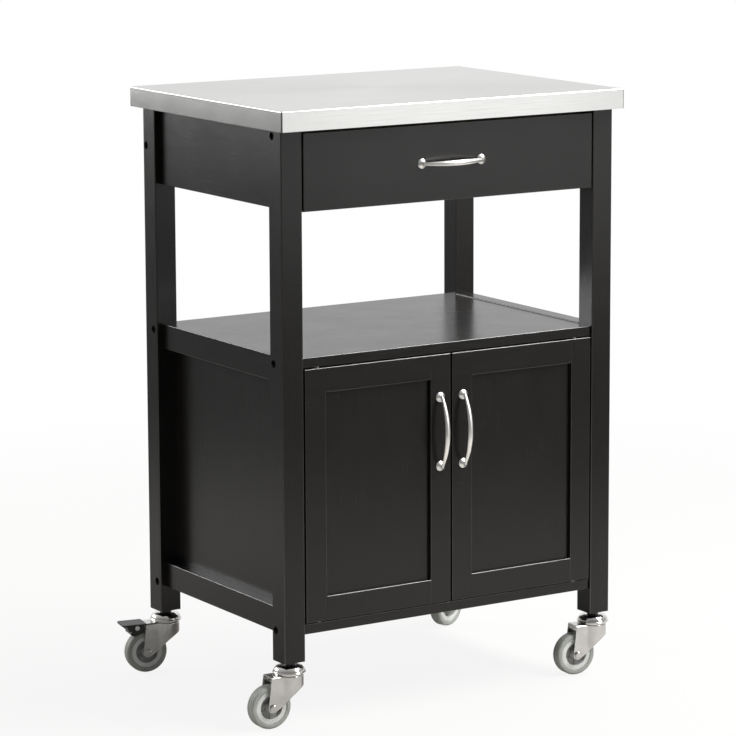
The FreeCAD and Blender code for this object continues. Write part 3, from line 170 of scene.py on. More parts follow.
# Black lacquer sprayed on rubberwood and board: satin, the grain just telegraphs through the film.
def makeLacquer(axis):
    material, tree, surface, coords = startMaterial(
        f"black_satin_lacquer_on_wood_{axis}", Metallic=0.0, IOR=1.45, Specular_IOR_Level=lacquer["mirror"]
    )
    spacing = [lacquer["poreWidth"]] * 3
    spacing["xyz".index(axis)] = lacquer["poreLength"]
    pores = addNoise(tree, coords, spacing, 4)
    figure = addNoise(tree, coords, [length * lacquer["figureTimes"] for length in spacing], 2, 3.7)
    cloud = addNoise(tree, coords, [lacquer["cloudSize"]] * 3, 3, 9.1)
    mixed = addSum(tree, figure, lacquer["figureWeight"], pores)
    film = addRamp(tree, mixed, [(0.4, lacquer["dark"]), (0.95, lacquer["light"])])
    eased = addEased(tree)
    # The eased edges get a paler colour, a painted highlight along them, and a stronger mirror.
    edgeHighlightMix = addNode(
        tree, "ShaderNodeMix", {"data_type": "RGBA"}, {0: eased, 6: film, 7: linear(lacquer["edge"])}
    )
    tree.links.new(edgeHighlightMix.outputs[2], surface.inputs["Base Color"])
    tree.links.new(
        addRange(tree, eased, 0.0, 1.0, lacquer["mirror"], lacquer["edgeMirror"]),
        surface.inputs["Specular IOR Level"],
    )
    worn = addSum(tree, cloud, lacquer["cloudWeight"], pores)
    tree.links.new(
        addRange(tree, worn, 0.4, 1.1, lacquer["roughLow"], lacquer["roughHigh"]),
        surface.inputs["Roughness"],
    )
    addBump(tree, surface, pores, lacquer["poreBump"], lacquer["poreDepth"])
    return material


steelTop = {
    "base": "#c2c2c0",
    "streak": "#b0b0ae",
    "roughLow": 0.14,
    "roughHigh": 0.22,
    "brushLength": 90,  # brush lines run along the worktop, drawn about five times too wide to show
    "brushWidth": 0.6,
    "brushDepth": 0.00003,
    "brushBump": 0.12,
    "anisotropic": 0.35,
    "smudge": (120, 90, 90),
    "smudgeWeight": 0.5,
}


# Stainless steel sheet, finely brushed along its length: soft streaky mirror.
def makeWorktopSteel():
    material, tree, surface, coords = startMaterial(
        "stainless_steel_fine_brushed", Metallic=1.0, Anisotropic=steelTop["anisotropic"]
    )
    width = steelTop["brushWidth"]
    brush = addNoise(tree, coords, (steelTop["brushLength"], width, width), 5)
    smudge = addNoise(tree, coords, steelTop["smudge"], 4, 5.3)
    tree.links.new(
        addRamp(tree, brush, [(0.3, steelTop["streak"]), (0.7, steelTop["base"])]),
        surface.inputs["Base Color"],
    )
    mixed = addSum(tree, smudge, steelTop["smudgeWeight"], brush)
    tree.links.new(
        addRange(tree, mixed, 0.4, 1.1, steelTop["roughLow"], steelTop["roughHigh"]),
        surface.inputs["Roughness"],
    )
    addBump(tree, surface, brush, steelTop["brushBump"], steelTop["brushDepth"])
    return material


# Metal with a fine cast or plated grain and soft wear. grain is in millimetres, wave the waviness of a
# pressed sheet in metres.
def makeMetal(name, dark, light, roughLow, roughHigh, grain, depth, wave=0.0):
    material, tree, surface, coords = startMaterial(name, Metallic=1.0)
    fine = addNoise(tree, coords, (grain, grain, grain), 4)
    cloud = addNoise(tree, coords, (18, 18, 18), 3, 2.2)
    tree.links.new(addRamp(tree, cloud, [(0.3, dark), (0.7, light)]), surface.inputs["Base Color"])
    mixed = addSum(tree, cloud, 0.6, fine)
    tree.links.new(addRange(tree, mixed, 0.45, 1.1, roughLow, roughHigh), surface.inputs["Roughness"])
    height = addSum(tree, cloud, wave / depth, fine)
    addBump(tree, surface, height, 0.2, depth)
    return material


# Moulded plastic or rubber with a fine spark-eroded grain.
def makeMoulded(name, dark, light, roughLow, roughHigh, grain, depth, **shader):
    material, tree, surface, coords = startMaterial(name, Metallic=0.0, **shader)
    fine = addNoise(tree, coords, (grain, grain, grain), 2)
    cloud = addNoise(tree, coords, (14, 14, 14), 3, 4.4)
    tree.links.new(addRamp(tree, cloud, [(0.3, dark), (0.7, light)]), surface.inputs["Base Color"])
    mixed = addSum(tree, cloud, 0.5, fine)
    tree.links.new(addRange(tree, mixed, 0.4, 1.1, roughLow, roughHigh), surface.inputs["Roughness"])
    addBump(tree, surface, fine, 0.3, depth)
    return material


# Raw particle board: pressed chips, seen from below inside the steel's fold.
def makeChipboard():
    material, tree, surface, coords = startMaterial("raw_particle_board", Metallic=0.0, Roughness=0.8)
    scale = [1 / (length * mm) for length in (6, 3, 3)]
    place = addNode(tree, "ShaderNodeMapping", None, {"Vector": coords, "Scale": scale})
    chips = addNode(tree, "ShaderNodeTexVoronoi", None, {"Vector": place.outputs[0], "Scale": 1.0})
    tone = addNode(tree, "ShaderNodeSeparateColor", None, {"Color": chips.outputs["Color"]}).outputs[0]
    tree.links.new(
        addRamp(tree, tone, [(0.0, "#8d6f48"), (0.5, "#b8986a"), (1.0, "#d2b88c")]),
        surface.inputs["Base Color"],
    )
    addBump(tree, surface, chips.outputs["Distance"], 0.4, 0.0002)
    return material


# Beech, turned and left raw: pale with short darker flecks along the grain.
def makeBeech():
    material, tree, surface, coords = startMaterial("raw_turned_beech", Metallic=0.0)
    fleck = addNoise(tree, coords, (0.6, 6, 0.6), 3)
    tree.links.new(addRamp(tree, fleck, [(0.35, "#a8794c"), (0.6, "#d6b185")]), surface.inputs["Base Color"])
    tree.links.new(addRange(tree, fleck, 0.3, 0.7, 0.55, 0.7), surface.inputs["Roughness"])
    addBump(tree, surface, fleck, 0.3, 0.0001)
    return material


woodX, woodY, woodZ = (makeLacquer(axis) for axis in "xyz")
worktopSteel = makeWorktopSteel()
chipboard = makeChipboard()
beech = makeBeech()
# Each finish: name, its two shades, lowest and highest roughness, grain in millimetres, depth in metres.
# Cast and tumbled, satin nickel: a pale silky sheen with soft highlights.
satinNickel = makeMetal("zinc_alloy_cast_satin_nickel_plated", "#e4e2df", "#f2f0ed", 0.3, 0.38, 0.5, 0.00002)
# Pressed sheet, bright zinc: a mirror that the press has left slightly wavy.
pressedZinc = makeMetal(
    "steel_pressed_bright_zinc_plated", "#bdbcbb", "#cdcccb", 0.08, 0.16, 0.8, 0.00003, 0.0018
)
# Spun and polished, zinc: bright bands round the domes.
polishedZinc = makeMetal("steel_spun_polished_zinc_plated", "#cfcdca", "#e4e2df", 0.1, 0.18, 0.8, 0.00002)
# Turned small parts, zinc: plain grey with a dull shine.
fastenerZinc = makeMetal("steel_turned_zinc_plated", "#a9aaab", "#c4c5c6", 0.25, 0.4, 0.6, 0.00003)
# Forged and blackened: dark and dull, lost in its hole.
blackBolt = makeMetal("steel_forged_black_oxide", "#1b1b1c", "#2c2c2d", 0.35, 0.5, 0.5, 0.00003)
# Turned nut, zinc: its colour is darkened as a painted reflection of the black post above it, with a clear
# shine on its flats.
zincWithPaintedDarkReflection = makeMetal("steel_turned_zinc_plated_painted_dark_reflection", "#2e2e30", "#4a4a4c", 0.18, 0.3, 0.5, 0.00003)
# Soft tyre: matt grey that takes the light evenly.
tyreRubber = makeMoulded("thermoplastic_rubber_moulded_grey", "#90938e", "#a0a29d", 0.5, 0.66, 0.7, 0.00005)
# Rim, hard plastic: paler than the tyre, with a low gloss.
rimPlastic = makeMoulded("polypropylene_moulded_light_grey", "#c6c7c5", "#d2d3d1", 0.34, 0.46, 0.7, 0.00003)
# Disc and hub: a darker grey that sets off the rim.
corePlastic = makeMoulded("polypropylene_moulded_mid_grey", "#858583", "#949492", 0.4, 0.55, 0.7, 0.00003)
# Pedal and catch: black with a grained, half-gloss skin.
blackPlastic = makeMoulded("nylon_moulded_black", "#121212", "#1d1d1d", 0.34, 0.5, 0.6, 0.00004)
# Bushes: off-white and waxy.
whiteNylon = makeMoulded("nylon_moulded_natural_white", "#d8d5cc", "#e4e1d9", 0.4, 0.5, 0.6, 0.00003)
print("materials made")


# Shows a node's own solid with a material.
def dress(node, material):
    mesh = nodes[node].data
    mesh.materials.clear()
    mesh.materials.append(material)


# The wood's grain runs along the longest side of each piece.
for name in nodes:
    if name.endswith(("_post", "_side_panel", "_door_panel")) or name == "back_panel":
        dress(name, woodZ)
    elif name.endswith(("_apron", "_rail")) and name.startswith(("left", "right")):
        dress(name, woodY)
    elif name in ("drawer_left_side", "drawer_right_side"):
        dress(name, woodY)
    else:
        dress(name, woodX)
dress("worktop_core", chipboard)
dress("frame_dowels", beech)
dress("pivot_bushes", whiteNylon)
for name in ("bolt_inserts", "runner_channels", "runner_slides", "ball_cages", "caster_sockets"):
    dress(name, fastenerZinc)
for side in ("left", "right"):
    dress(f"{side}_door_pivots", fastenerZinc)
    dress(f"{side}_door_strike", fastenerZinc)
dress("door_catch", blackPlastic)


# Frees the form and drops normals that came with a node's own mesh.
def asMesh(name, form):
    data = bpy.data.meshes.new(name)
    form.to_mesh(data)
    form.free()
    if data.has_custom_normals:
        data.attributes.remove(data.attributes["custom_normal"])
    return data


# Turns the normals to the large faces, so that flat faces stay flat beside their rounded edges.
def weighNormals(mesh):
    holder = bpy.data.objects.new("holder", mesh)
    bpy.context.scene.collection.objects.link(holder)
    modifier = holder.modifiers.new("weigh", "WEIGHTED_NORMAL")
    modifier.keep_sharp = True
    graph = bpy.context.evaluated_depsgraph_get()
    result = bpy.data.meshes.new_from_object(holder.evaluated_get(graph), depsgraph=graph)
    bpy.data.objects.remove(holder)
    bpy.data.meshes.remove(mesh)
    return result


# Makes an object of a mesh that is already in place, shaded smooth between faces that meet gently.
def makePiece(name, form, material, body, replaced=(), sharpAngle=32):
    if isinstance(form, bpy.types.Mesh):
        mesh = form
        form = bmesh.new()
        form.from_mesh(mesh)
        bpy.data.meshes.remove(mesh)
    for face in form.faces:
        face.smooth = True
    for edge in form.edges:
        edge.smooth = edge.is_manifold and edge.calc_face_angle() < math.radians(sharpAngle)
    mesh = asMesh("form", form)
    mesh.materials.clear()
    mesh.materials.append(material)
    mesh = weighNormals(mesh)
    mesh.name = name
    piece = bpy.data.objects.new(name, mesh)
    bpy.context.scene.collection.objects.link(piece)
    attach(piece, body)
    if replaced:
        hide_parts(*replaced)
    return piece


# A node's own shape again, its loose triangles merged, so that round faces shade as round.
def mergedCopy(node):
    mesh = bmesh.new()
    mesh.from_mesh(nodes[node].data)
    bmesh.ops.remove_doubles(mesh, verts=mesh.verts, dist=1e-6)
    bmesh.ops.dissolve_limit(
        mesh, angle_limit=math.radians(0.2), verts=mesh.verts, edges=mesh.edges, delimit={"NORMAL"}
    )
    return mesh


# Rounds the corners of a profile: points are (across, along, radius).
def softened(points, steps=4):
    soft = []
    count = len(points)
    for place, (across, along, radius) in enumerate(points):
        corner = Vector((across, along))
        if radius == 0:
            soft.append(tuple(corner))
            continue
        before = Vector(points[place - 1][:2]) - corner
        after = Vector(points[(place + 1) % count][:2]) - corner
        start = corner + before.normalized() * min(radius, before.length / 2)
        end = corner + after.normalized() * min(radius, after.length / 2)
        for step in range(steps + 1):
            share = step / steps
            soft.append(tuple(start.lerp(corner, share).lerp(corner.lerp(end, share), share)))
    return soft


def inMetres(profile):
    return [(across * mm, along * mm) for across, along in softened(profile)]


# Turns a profile of (radius, along) points about Z. A closed profile goes back to its first point.
def lathe(profile, segments, closed):
    mesh = bmesh.new()
    rings = []
    for radius, along in profile:
        if radius < 1e-7:
            rings.append([mesh.verts.new((0, 0, along))] * segments)
            continue
        ring = []
        for step in range(segments):
            angle = 2 * math.pi * step / segments
            ring.append(mesh.verts.new((radius * math.cos(angle), radius * math.sin(angle), along)))
        rings.append(ring)
    pairs = list(zip(rings, rings[1:] + rings[:1])) if closed else list(zip(rings, rings[1:]))
    for low, high in pairs:
        for step in range(segments):
            after = (step + 1) % segments
            corners = []
            for vert in (low[step], low[after], high[after], high[step]):
                if vert not in corners:
                    corners.append(vert)
            if len(corners) > 2:
                mesh.faces.new(corners)
    bmesh.ops.recalc_face_normals(mesh, faces=mesh.faces)
    return mesh


# Joins meshes into the first one, each moved by its own matrix.
def joined(parts):
    whole = bmesh.new()
    for part, place in parts:
        if isinstance(part, bmesh.types.BMesh):
            data = asMesh("part", part)
        else:
            data = part.copy()
        data.transform(place)
        if place.determinant() < 0:
            data.flip_normals()
        whole.from_mesh(data)
        bpy.data.meshes.remove(data)
    return whole


still = Matrix.Identity(4)
print("helpers ready")


# Starts a geometry tree with named inputs, given as (name, socket type).
def startTree(name, inputs):
    tree = bpy.data.node_groups.new(name, "GeometryNodeTree")
    for label, kind in inputs:
        tree.interface.new_socket(name=label, in_out="INPUT", socket_type=kind)
    tree.interface.new_socket(name="Geometry", in_out="OUTPUT", socket_type="NodeSocketGeometry")
    return tree, addNode(tree, "NodeGroupInput").outputs


def endTree(tree, geometry, material):
    real = addNode(tree, "GeometryNodeRealizeInstances", None, {"Geometry": geometry})
    finished = addNode(
        tree, "GeometryNodeSetMaterial", None, {"Geometry": real.outputs[0], "Material": material}
    )
    addNode(tree, "NodeGroupOutput", None, {0: finished.outputs[0]})
    return tree


# Runs a tree on a mesh and gives the result as a plain mesh.
def runTree(tree, mesh, values):
    holder = bpy.data.objects.new("holder", mesh)
    bpy.context.scene.collection.objects.link(holder)
    modifier = holder.modifiers.new("tree", "NODES")
    modifier.node_group = tree
    for socket in tree.interface.items_tree:
        if socket.in_out == "INPUT" and socket.name in values:
            modifier[socket.identifier] = values[socket.name]
    graph = bpy.context.evaluated_depsgraph_get()
    result = bpy.data.meshes.new_from_object(holder.evaluated_get(graph), depsgraph=graph)
    holder.modifiers.clear()
    bpy.data.objects.remove(holder)
    return result


def pointMesh(places):
    mesh = bpy.data.meshes.new("places")
    mesh.from_pydata([tuple(place) for place in places], [], [])
    return mesh


# Tree that puts one form on every point, all turned the same way.
def makeRepeatTree():
    tree, given = startTree(
        "repeat_on_points",
        [
            ("Points", "NodeSocketGeometry"),
            ("Form", "NodeSocketObject"),
            ("Turn", "NodeSocketVector"),
            ("Size", "NodeSocketFloat"),
            ("Material", "NodeSocketMaterial"),
        ],
    )
    form = addNode(tree, "GeometryNodeObjectInfo", None, {"Object": given["Form"]})
    turn = addNode(tree, "FunctionNodeEulerToRotation", None, {"Euler": given["Turn"]})
    placed = addNode(
        tree,
        "GeometryNodeInstanceOnPoints",
        None,
        {
            "Points": given["Points"],
            "Instance": form.outputs["Geometry"],
            "Rotation": turn.outputs[0],
            "Scale": given["Size"],
        },
    )
    return endTree(tree, placed.outputs[0], given["Material"])


repeatTree = makeRepeatTree()


def repeated(form, places, turn, material):
    holder = bpy.data.objects.new("form", form)
    bpy.context.scene.collection.objects.link(holder)
    values = {"Form": holder, "Turn": turn, "Size": 1.0, "Material": material}
    result = runTree(repeatTree, pointMesh(places), values)
    bpy.data.objects.remove(holder)
    return result


# Screw or bolt with its head upwards from zero. The recess is a hexagon or a cross.
def makeScrew(values):
    segments = 24
    armWidth = 0.28  # half width of the cross against its reach
    bevelShare = 0.3
    outer = values["headRadius"] * mm
    top = values["headHeight"] * mm
    key = values["key"] * mm
    mesh = bmesh.new()

    def recessRadius(angle):
        if values["recess"] == "hexagon":
            return key / math.cos((angle + math.pi / 6) % (math.pi / 3) - math.pi / 6)
        small, large = sorted((abs(math.cos(angle)), abs(math.sin(angle))))
        return min(key / large, key * armWidth / max(small, 1e-6))

    def ring(radius, along):
        verts = []
        for step in range(segments):
            angle = 2 * math.pi * step / segments
            length = recessRadius(angle) if radius is None else radius
            verts.append(mesh.verts.new((length * math.cos(angle), length * math.sin(angle), along)))
        return verts

    shank = values["shankRadius"] * mm
    length = values["shankLength"] * mm
    edge = values["edge"] * mm
    rings = [
        ring(shank * 0.8, -length),
        ring(shank, -length + shank * 0.3),
        ring(shank, 0),
        ring(outer, 0),
        ring(outer, top - edge),
        ring(outer - edge * bevelShare, top - edge * bevelShare),
        ring(outer - edge, top),
        ring(None, top),
        ring(None, top - values["recessDepth"] * mm),
    ]
    for low, high in zip(rings, rings[1:]):
        for step in range(segments):
            after = (step + 1) % segments
            mesh.faces.new((low[step], low[after], high[after], high[step]))
    mesh.faces.new(rings[0][::-1])
    mesh.faces.new(rings[-1])
    bmesh.ops.recalc_face_normals(mesh, faces=mesh.faces)
    return asMesh("screw", mesh)


boltSizes = {
    "headRadius": 4.95,
    "headHeight": 6,
    "edge": 0.6,
    "recess": "hexagon",
    "key": 2,
    "recessDepth": 3,
    "shankRadius": 2.98,
    "shankLength": 46,
    "nearest": 12,  # two bolts lie further apart than this
}
screwSizes = {
    "headRadius": 3.6,
    "headHeight": 1.2,
    "edge": 0.5,
    "recess": "cross",
    "key": 1.9,
    "recessDepth": 0.7,
    "shankRadius": 1.4,
    "shankLength": 1,
}


# Bolts sit at the bottom of the posts' counterbores, heads outwards.
def makeFrameBolts():
    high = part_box("frame_bolts")[1]
    form = makeScrew(boltSizes)
    seat = high.x - boltSizes["headHeight"] * mm
    parts = []
    for side in (-1, 1):
        spots = [vert.co for vert in nodes["frame_bolts"].data.vertices]
        outside = [spot for spot in spots if abs(spot.x - side * high.x) < 1e-5]
        centres = clusterCentres(outside, boltSizes["nearest"] * mm)
        centres = [(side * seat, centre.y, centre.z) for centre in centres]
        parts.append((repeated(form, centres, (0, side * math.pi / 2, 0), blackBolt), still))
    makePiece("hex_socket_bolts", joined(parts), blackBolt, "cart", ["frame_bolts"])


# Centres of groups of points that lie within a distance of each other's first point.
def clusterCentres(points, reach):
    groups = []
    for point in points:
        for group in groups:
            if (group[0] - point).length < reach:
                group.append(point)
                break
        else:
            groups.append([point])
    centres = []
    for group in groups:
        low = Vector(min(point[axis] for point in group) for axis in range(3))
        high = Vector(max(point[axis] for point in group) for axis in range(3))
        centres.append((low + high) / 2)
    return centres


makeFrameBolts()
print("frame bolts made")

handleShape = {
    "pitch": 104,
    "stand": 6.8,
    "rise": 13.7,
    "width": 8.5,
    "thickness": 6,
    "tip": 0.5,  # size of the bow's ends against its middle
    "arcSteps": 40,
    "roundSteps": 24,
    "footSegments": 48,
}
footProfile = [  # across, along and rounding of a turned foot
    (0, 0, 0),
    (7.5, 0, 0),
    (7.5, 1.2, 0.6),
    (6.3, 2.0, 0.8),
    (2.9, 4.8, 2.2),
    (2.0, 6.6, 1.0),
    (1.7, 7.6, 0.6),
    (0, 7.7, 0),
]


# Tree for a bow: an arc whose round section thins out towards both ends.
def makeBowTree():
    tree, given = startTree(
        "handle_bow",
        [
            ("Start", "NodeSocketVector"),
            ("Middle", "NodeSocketVector"),
            ("End", "NodeSocketVector"),
            ("Section", "NodeSocketVector"),
            ("Tip", "NodeSocketFloat"),
            ("Arc steps", "NodeSocketInt"),
            ("Round steps", "NodeSocketInt"),
            ("Material", "NodeSocketMaterial"),
        ],
    )
    arc = addNode(
        tree,
        "GeometryNodeCurveArc",
        {"mode": "POINTS"},
        {
            "Resolution": given["Arc steps"],
            "Start": given["Start"],
            "Middle": given["Middle"],
            "End": given["End"],
        },
    )
    level = addNode(tree, "GeometryNodeSetCurveNormal", {"mode": "Z_UP"}, {"Curve": arc.outputs["Curve"]})
    place = addNode(tree, "GeometryNodeSplineParameter").outputs["Factor"]
    across = addRange(tree, place, 0.0, 1.0, -1.0, 1.0)
    square = addNode(tree, "ShaderNodeMath", {"operation": "MULTIPLY"}, {0: across, 1: across})
    loss = addNode(tree, "ShaderNodeMath", {"operation": "SUBTRACT"}, {0: 1.0, 1: given["Tip"]})
    taper = addNode(
        tree, "ShaderNodeMath", {"operation": "MULTIPLY"}, {0: square.outputs[0], 1: loss.outputs[0]}
    )
    radius = addNode(tree, "ShaderNodeMath", {"operation": "SUBTRACT"}, {0: 1.0, 1: taper.outputs[0]})
    circle = addNode(
        tree, "GeometryNodeCurvePrimitiveCircle", None, {"Resolution": given["Round steps"], "Radius": 1.0}
    )
    section = addNode(
        tree,
        "GeometryNodeTransform",
        None,
        {"Geometry": circle.outputs["Curve"], "Scale": given["Section"]},
    )
    bow = addNode(
        tree,
        "GeometryNodeCurveToMesh",
        None,
        {
            "Curve": level.outputs[0],
            "Profile Curve": section.outputs[0],
            "Scale": radius.outputs[0],
            "Fill Caps": True,
        },
    )
    return endTree(tree, bow.outputs[0], given["Material"])


# Bow handle along X in front of the XZ plane, its feet on that plane.
def makeHandleMesh():
    half = handleShape["pitch"] / 2 * mm
    stand = handleShape["stand"] * mm
    values = {
        "Start": (-half, -stand, 0),
        "Middle": (0, -stand - handleShape["rise"] * mm, 0),
        "End": (half, -stand, 0),
        "Section": (handleShape["thickness"] / 2 * mm, handleShape["width"] / 2 * mm, 1),
        "Tip": handleShape["tip"],
        "Arc steps": handleShape["arcSteps"],
        "Round steps": handleShape["roundSteps"],
        "Material": satinNickel,
    }
    bow = runTree(makeBowTree(), bpy.data.meshes.new("bow"), values)
    parts = [(bow, still)]
    profile = inMetres(footProfile)
    for end in (-1, 1):
        foot = lathe(profile, handleShape["footSegments"], False)
        parts.append((foot, Matrix.Translation((end * half, 0, 0)) @ Matrix.Rotation(math.pi / 2, 4, "X")))
    return asMesh("handle", joined(parts))


def makeHandles():
    form = makeHandleMesh()
    for node, body, name in (
        ("drawer_handle", "drawer", "drawer_bow_handle"),
        ("left_door_handle", "left_door", "left_door_bow_handle"),
        ("right_door_handle", "right_door", "right_door_bow_handle"),
    ):
        low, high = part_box(node)
        place = Matrix.Translation(((low.x + high.x) / 2, high.y, (low.z + high.z) / 2))
        if high.z - low.z > high.x - low.x:
            place = place @ Matrix.Rotation(math.pi / 2, 4, "Y")
        makePiece(name, joined([(form, place)]), satinNickel, body, [node])


makeHandles()
print("handles made")


# The worktop's folded sheet, its round edges shaded as round.
makePiece(
    "worktop_sheet", mergedCopy("worktop_skin"), worktopSteel, "cart", ["worktop_skin"], 50
)
print("worktop made")


casterNames = ("front_left", "front_right", "rear_left", "rear_right")
tyreProfile = [  # radius, side and rounding of a tyre's section, from bore to tread
    (24.4, -8.6, 0),
    (25.3, -9.3, 0.3),
    (28.2, -9.5, 0.6),
    (28.5, -9.15, 0.2),
    (29.0, -9.45, 0.3),
    (31.0, -8.9, 1.2),
    (32.5, -6.4, 1.2),
    (32.5, -3.2, 0.2),
    (31.6, -2.9, 0.1),
    (31.6, -2.3, 0.1),
    (32.5, -2.0, 0.2),
    (32.5, 2.0, 0.2),
    (31.6, 2.3, 0.1),
    (31.6, 2.9, 0.1),
    (32.5, 3.2, 0.2),
    (32.5, 6.4, 1.2),
    (31.0, 8.9, 1.2),
    (29.0, 9.45, 0.3),
    (28.5, 9.15, 0.2),
    (28.2, 9.5, 0.6),
    (25.3, 9.3, 0.3),
    (24.4, 8.6, 0),
]
rimProfile = [  # radius, side and rounding of the pale rim ring
    (17.7, -8.5, 0.4),
    (24.35, -8.5, 0.5),
    (24.35, 8.5, 0.5),
    (17.7, 8.5, 0.4),
]
coreProfile = [  # radius, side and rounding of the dark disc and its hub
    (4.08, -11.6, 0.3),
    (7.6, -11.6, 0.5),
    (9, -9.5, 0.5),
    (9, -2.5, 0.8),
    (17.72, -2.5, 0),
    (17.72, 2.5, 0),
    (9, 2.5, 0.8),
    (9, 9.5, 0.5),
    (7.6, 11.6, 0.5),
    (4.08, 11.6, 0.3),
]
wheelShape = {
    "segments": 96,
    "ribs": 6,
    "ribFrom": 9,  # the ribs are centred between hub and rim
    "ribTo": 17.72,
    "ribLength": 8.7,
    "ribWidth": 1.6,
    "ribHeight": 7.5,
}


# Tree that sets boxes in a ring about Z, each pointing outwards.
def makeRibTree():
    tree, given = startTree(
        "wheel_ribs",
        [
            ("Count", "NodeSocketInt"),
            ("Radius", "NodeSocketFloat"),
            ("Rib", "NodeSocketVector"),
            ("Material", "NodeSocketMaterial"),
        ],
    )
    ring = addNode(
        tree, "GeometryNodeMeshCircle", None, {"Vertices": given["Count"], "Radius": given["Radius"]}
    )
    rib = addNode(tree, "GeometryNodeMeshCube", None, {"Size": given["Rib"]})
    spot = addNode(tree, "GeometryNodeInputPosition")
    turn = addNode(
        tree, "FunctionNodeAlignRotationToVector", {"axis": "X"}, {"Vector": spot.outputs[0]}
    )
    placed = addNode(
        tree,
        "GeometryNodeInstanceOnPoints",
        None,
        {"Points": ring.outputs[0], "Instance": rib.outputs["Mesh"], "Rotation": turn.outputs[0]},
    )
    return endTree(tree, placed.outputs[0], given["Material"])


# Wheel with its axle along the joint's own axis.
def wheelPlace(name):
    joint = joints[f"{name}_roll"]
    axis = Vector(joint["axis"]).normalized()
    up = Vector((0, 0, 1))
    turn = Matrix((up, axis.cross(up), axis)).transposed().to_4x4()
    return Matrix.Translation(joint["pos_m"]) @ turn


def makeWheels():
    values = {
        "Count": wheelShape["ribs"],
        "Radius": (wheelShape["ribFrom"] + wheelShape["ribTo"]) / 2 * mm,
        "Rib": [wheelShape[side] * mm for side in ("ribLength", "ribWidth", "ribHeight")],
        "Material": corePlastic,
    }
    ribs = runTree(makeRibTree(), bpy.data.meshes.new("ribs"), values)
    segments = wheelShape["segments"]
    for name in casterNames:
        place = wheelPlace(name)
        body = f"{name}_wheel"
        tyre = joined([(lathe(inMetres(tyreProfile), segments, True), place)])
        makePiece(f"{name}_rubber_tyre", tyre, tyreRubber, body, [f"{name}_tyre"])
        rim = joined([(lathe(inMetres(rimProfile), segments, True), place)])
        makePiece(f"{name}_rim", rim, rimPlastic, body, [f"{name}_hub"])
        core = joined([(lathe(inMetres(coreProfile), segments, True), place), (ribs, place)])
        makePiece(f"{name}_wheel_centre", core, corePlastic, body)


makeWheels()
print("wheels made")

headProfile = [  # radius, height and rounding of the swivel head, from the pin's head to the nut
    (0, 72.2, 0),
    (7, 72.2, 0.6),
    (8, 73.2, 0.6),
    (8, 76.2, 0.4),
    (5, 76.2, 0),
    (5, 78.8, 0),
    (22, 78.8, 0.4),
    (22, 80.4, 0),
    (23.9, 80.6, 0.4),
    (24.6, 81.5, 0.7),
    (24.2, 82.6, 0.5),
    (23.2, 82.7, 0.6),
    (22.9, 85.2, 1.5),
    (20.3, 89.6, 3),
    (13.5, 91.4, 2.5),
    (4, 91.4, 0),
    (4, 124.5, 0.3),
    (3.4, 125, 0.2),
    (0, 125, 0),
]
headShape = {"segments": 72, "sharpAngle": 28}
nutShape = {"radius": 9, "low": 91.4, "high": 97, "chamfer": 0.9, "cornerCut": 0.13, "segments": 48}


# Hexagon nut with its corners chamfered above and below.
def makeNut():
    mesh = bmesh.new()
    low, high, radius, chamfer = (nutShape[key] * mm for key in ("low", "high", "radius", "chamfer"))
    segments = nutShape["segments"]
    cut = 1 - nutShape["cornerCut"]
    rings = []
    for height, limit in ((low, cut), (low + chamfer, 1), (high - chamfer, 1), (high, cut)):
        ring = []
        for step in range(segments):
            angle = 2 * math.pi * step / segments
            flat = math.cos(math.pi / 6) / math.cos((angle + math.pi / 6) % (math.pi / 3) - math.pi / 6)
            length = radius * min(flat, limit)
            ring.append(mesh.verts.new((length * math.cos(angle), length * math.sin(angle), height)))
        rings.append(ring)
    for below, above in zip(rings, rings[1:]):
        for step in range(segments):
            after = (step + 1) % segments
            mesh.faces.new((below[step], below[after], above[after], above[step]))
    mesh.faces.new(rings[0][::-1])
    mesh.faces.new(rings[-1])
    return mesh


# Swivel heads: the spun cap and its pin, and the nut on top, repeated over the four casters.
def makeSwivelHeads():
    spots = [Vector((*joints[f"{name}_swivel"]["pos_m"][:2], 0)) for name in casterNames]
    head = lathe(inMetres(headProfile), headShape["segments"], False)
    for name, form, material, replaced in (
        ("swivel_caps", head, polishedZinc, ["caster_stems"]),
        ("stem_nuts", makeNut(), zincWithPaintedDarkReflection, []),
    ):
        heads = repeated(asMesh("head", form), spots, (0, 0, 0), material)
        makePiece(name, heads, material, "cart", replaced, headShape["sharpAngle"])


# Breaks the sharp edges of a merged copy with two narrow facets.
def softEdges(mesh, width, smallest=30):
    least = math.radians(smallest)
    edges = [edge for edge in mesh.edges if edge.is_manifold and edge.calc_face_angle() > least]
    bmesh.ops.bevel(
        mesh,
        geom=edges,
        offset=width * mm,
        offset_type="OFFSET",
        segments=2,
        profile=0.6,
        affect="EDGES",
        clamp_overlap=True,
        harden_normals=False,
    )
    return mesh


# Takes the axle bolt out of a fork's merged copy: the loose part that lies round the axle.
def dropAxle(mesh, centre, reach):
    near = {vert for vert in mesh.verts if (vert.co - centre).length < reach}
    grown = set()
    queue = list(near)
    while queue:
        vert = queue.pop()
        if vert not in grown:
            grown.add(vert)
            queue.extend(edge.other_vert(vert) for edge in vert.link_edges)
    bmesh.ops.delete(mesh, geom=list(grown), context="VERTS")
    return mesh


forkShape = {"edge": 0.3, "axleReach": 4.6, "axleSegments": 48, "sharpAngle": 40}
pedalShape = {"edge": 0.5, "sharpAngle": 40}
axleProfile = [  # radius, place along the axle and rounding, from one domed head to the other
    (0, -17.4, 0),
    (2.6, -17.2, 1.5),
    (4.7, -15.9, 1.2),
    (5.5, -14.0, 0.3),
    (3.98, -14.0, 0),
    (3.98, 14.0, 0),
    (5.5, 14.0, 0.3),
    (4.7, 15.9, 1.2),
    (2.6, 17.2, 1.5),
    (0, 17.4, 0),
]


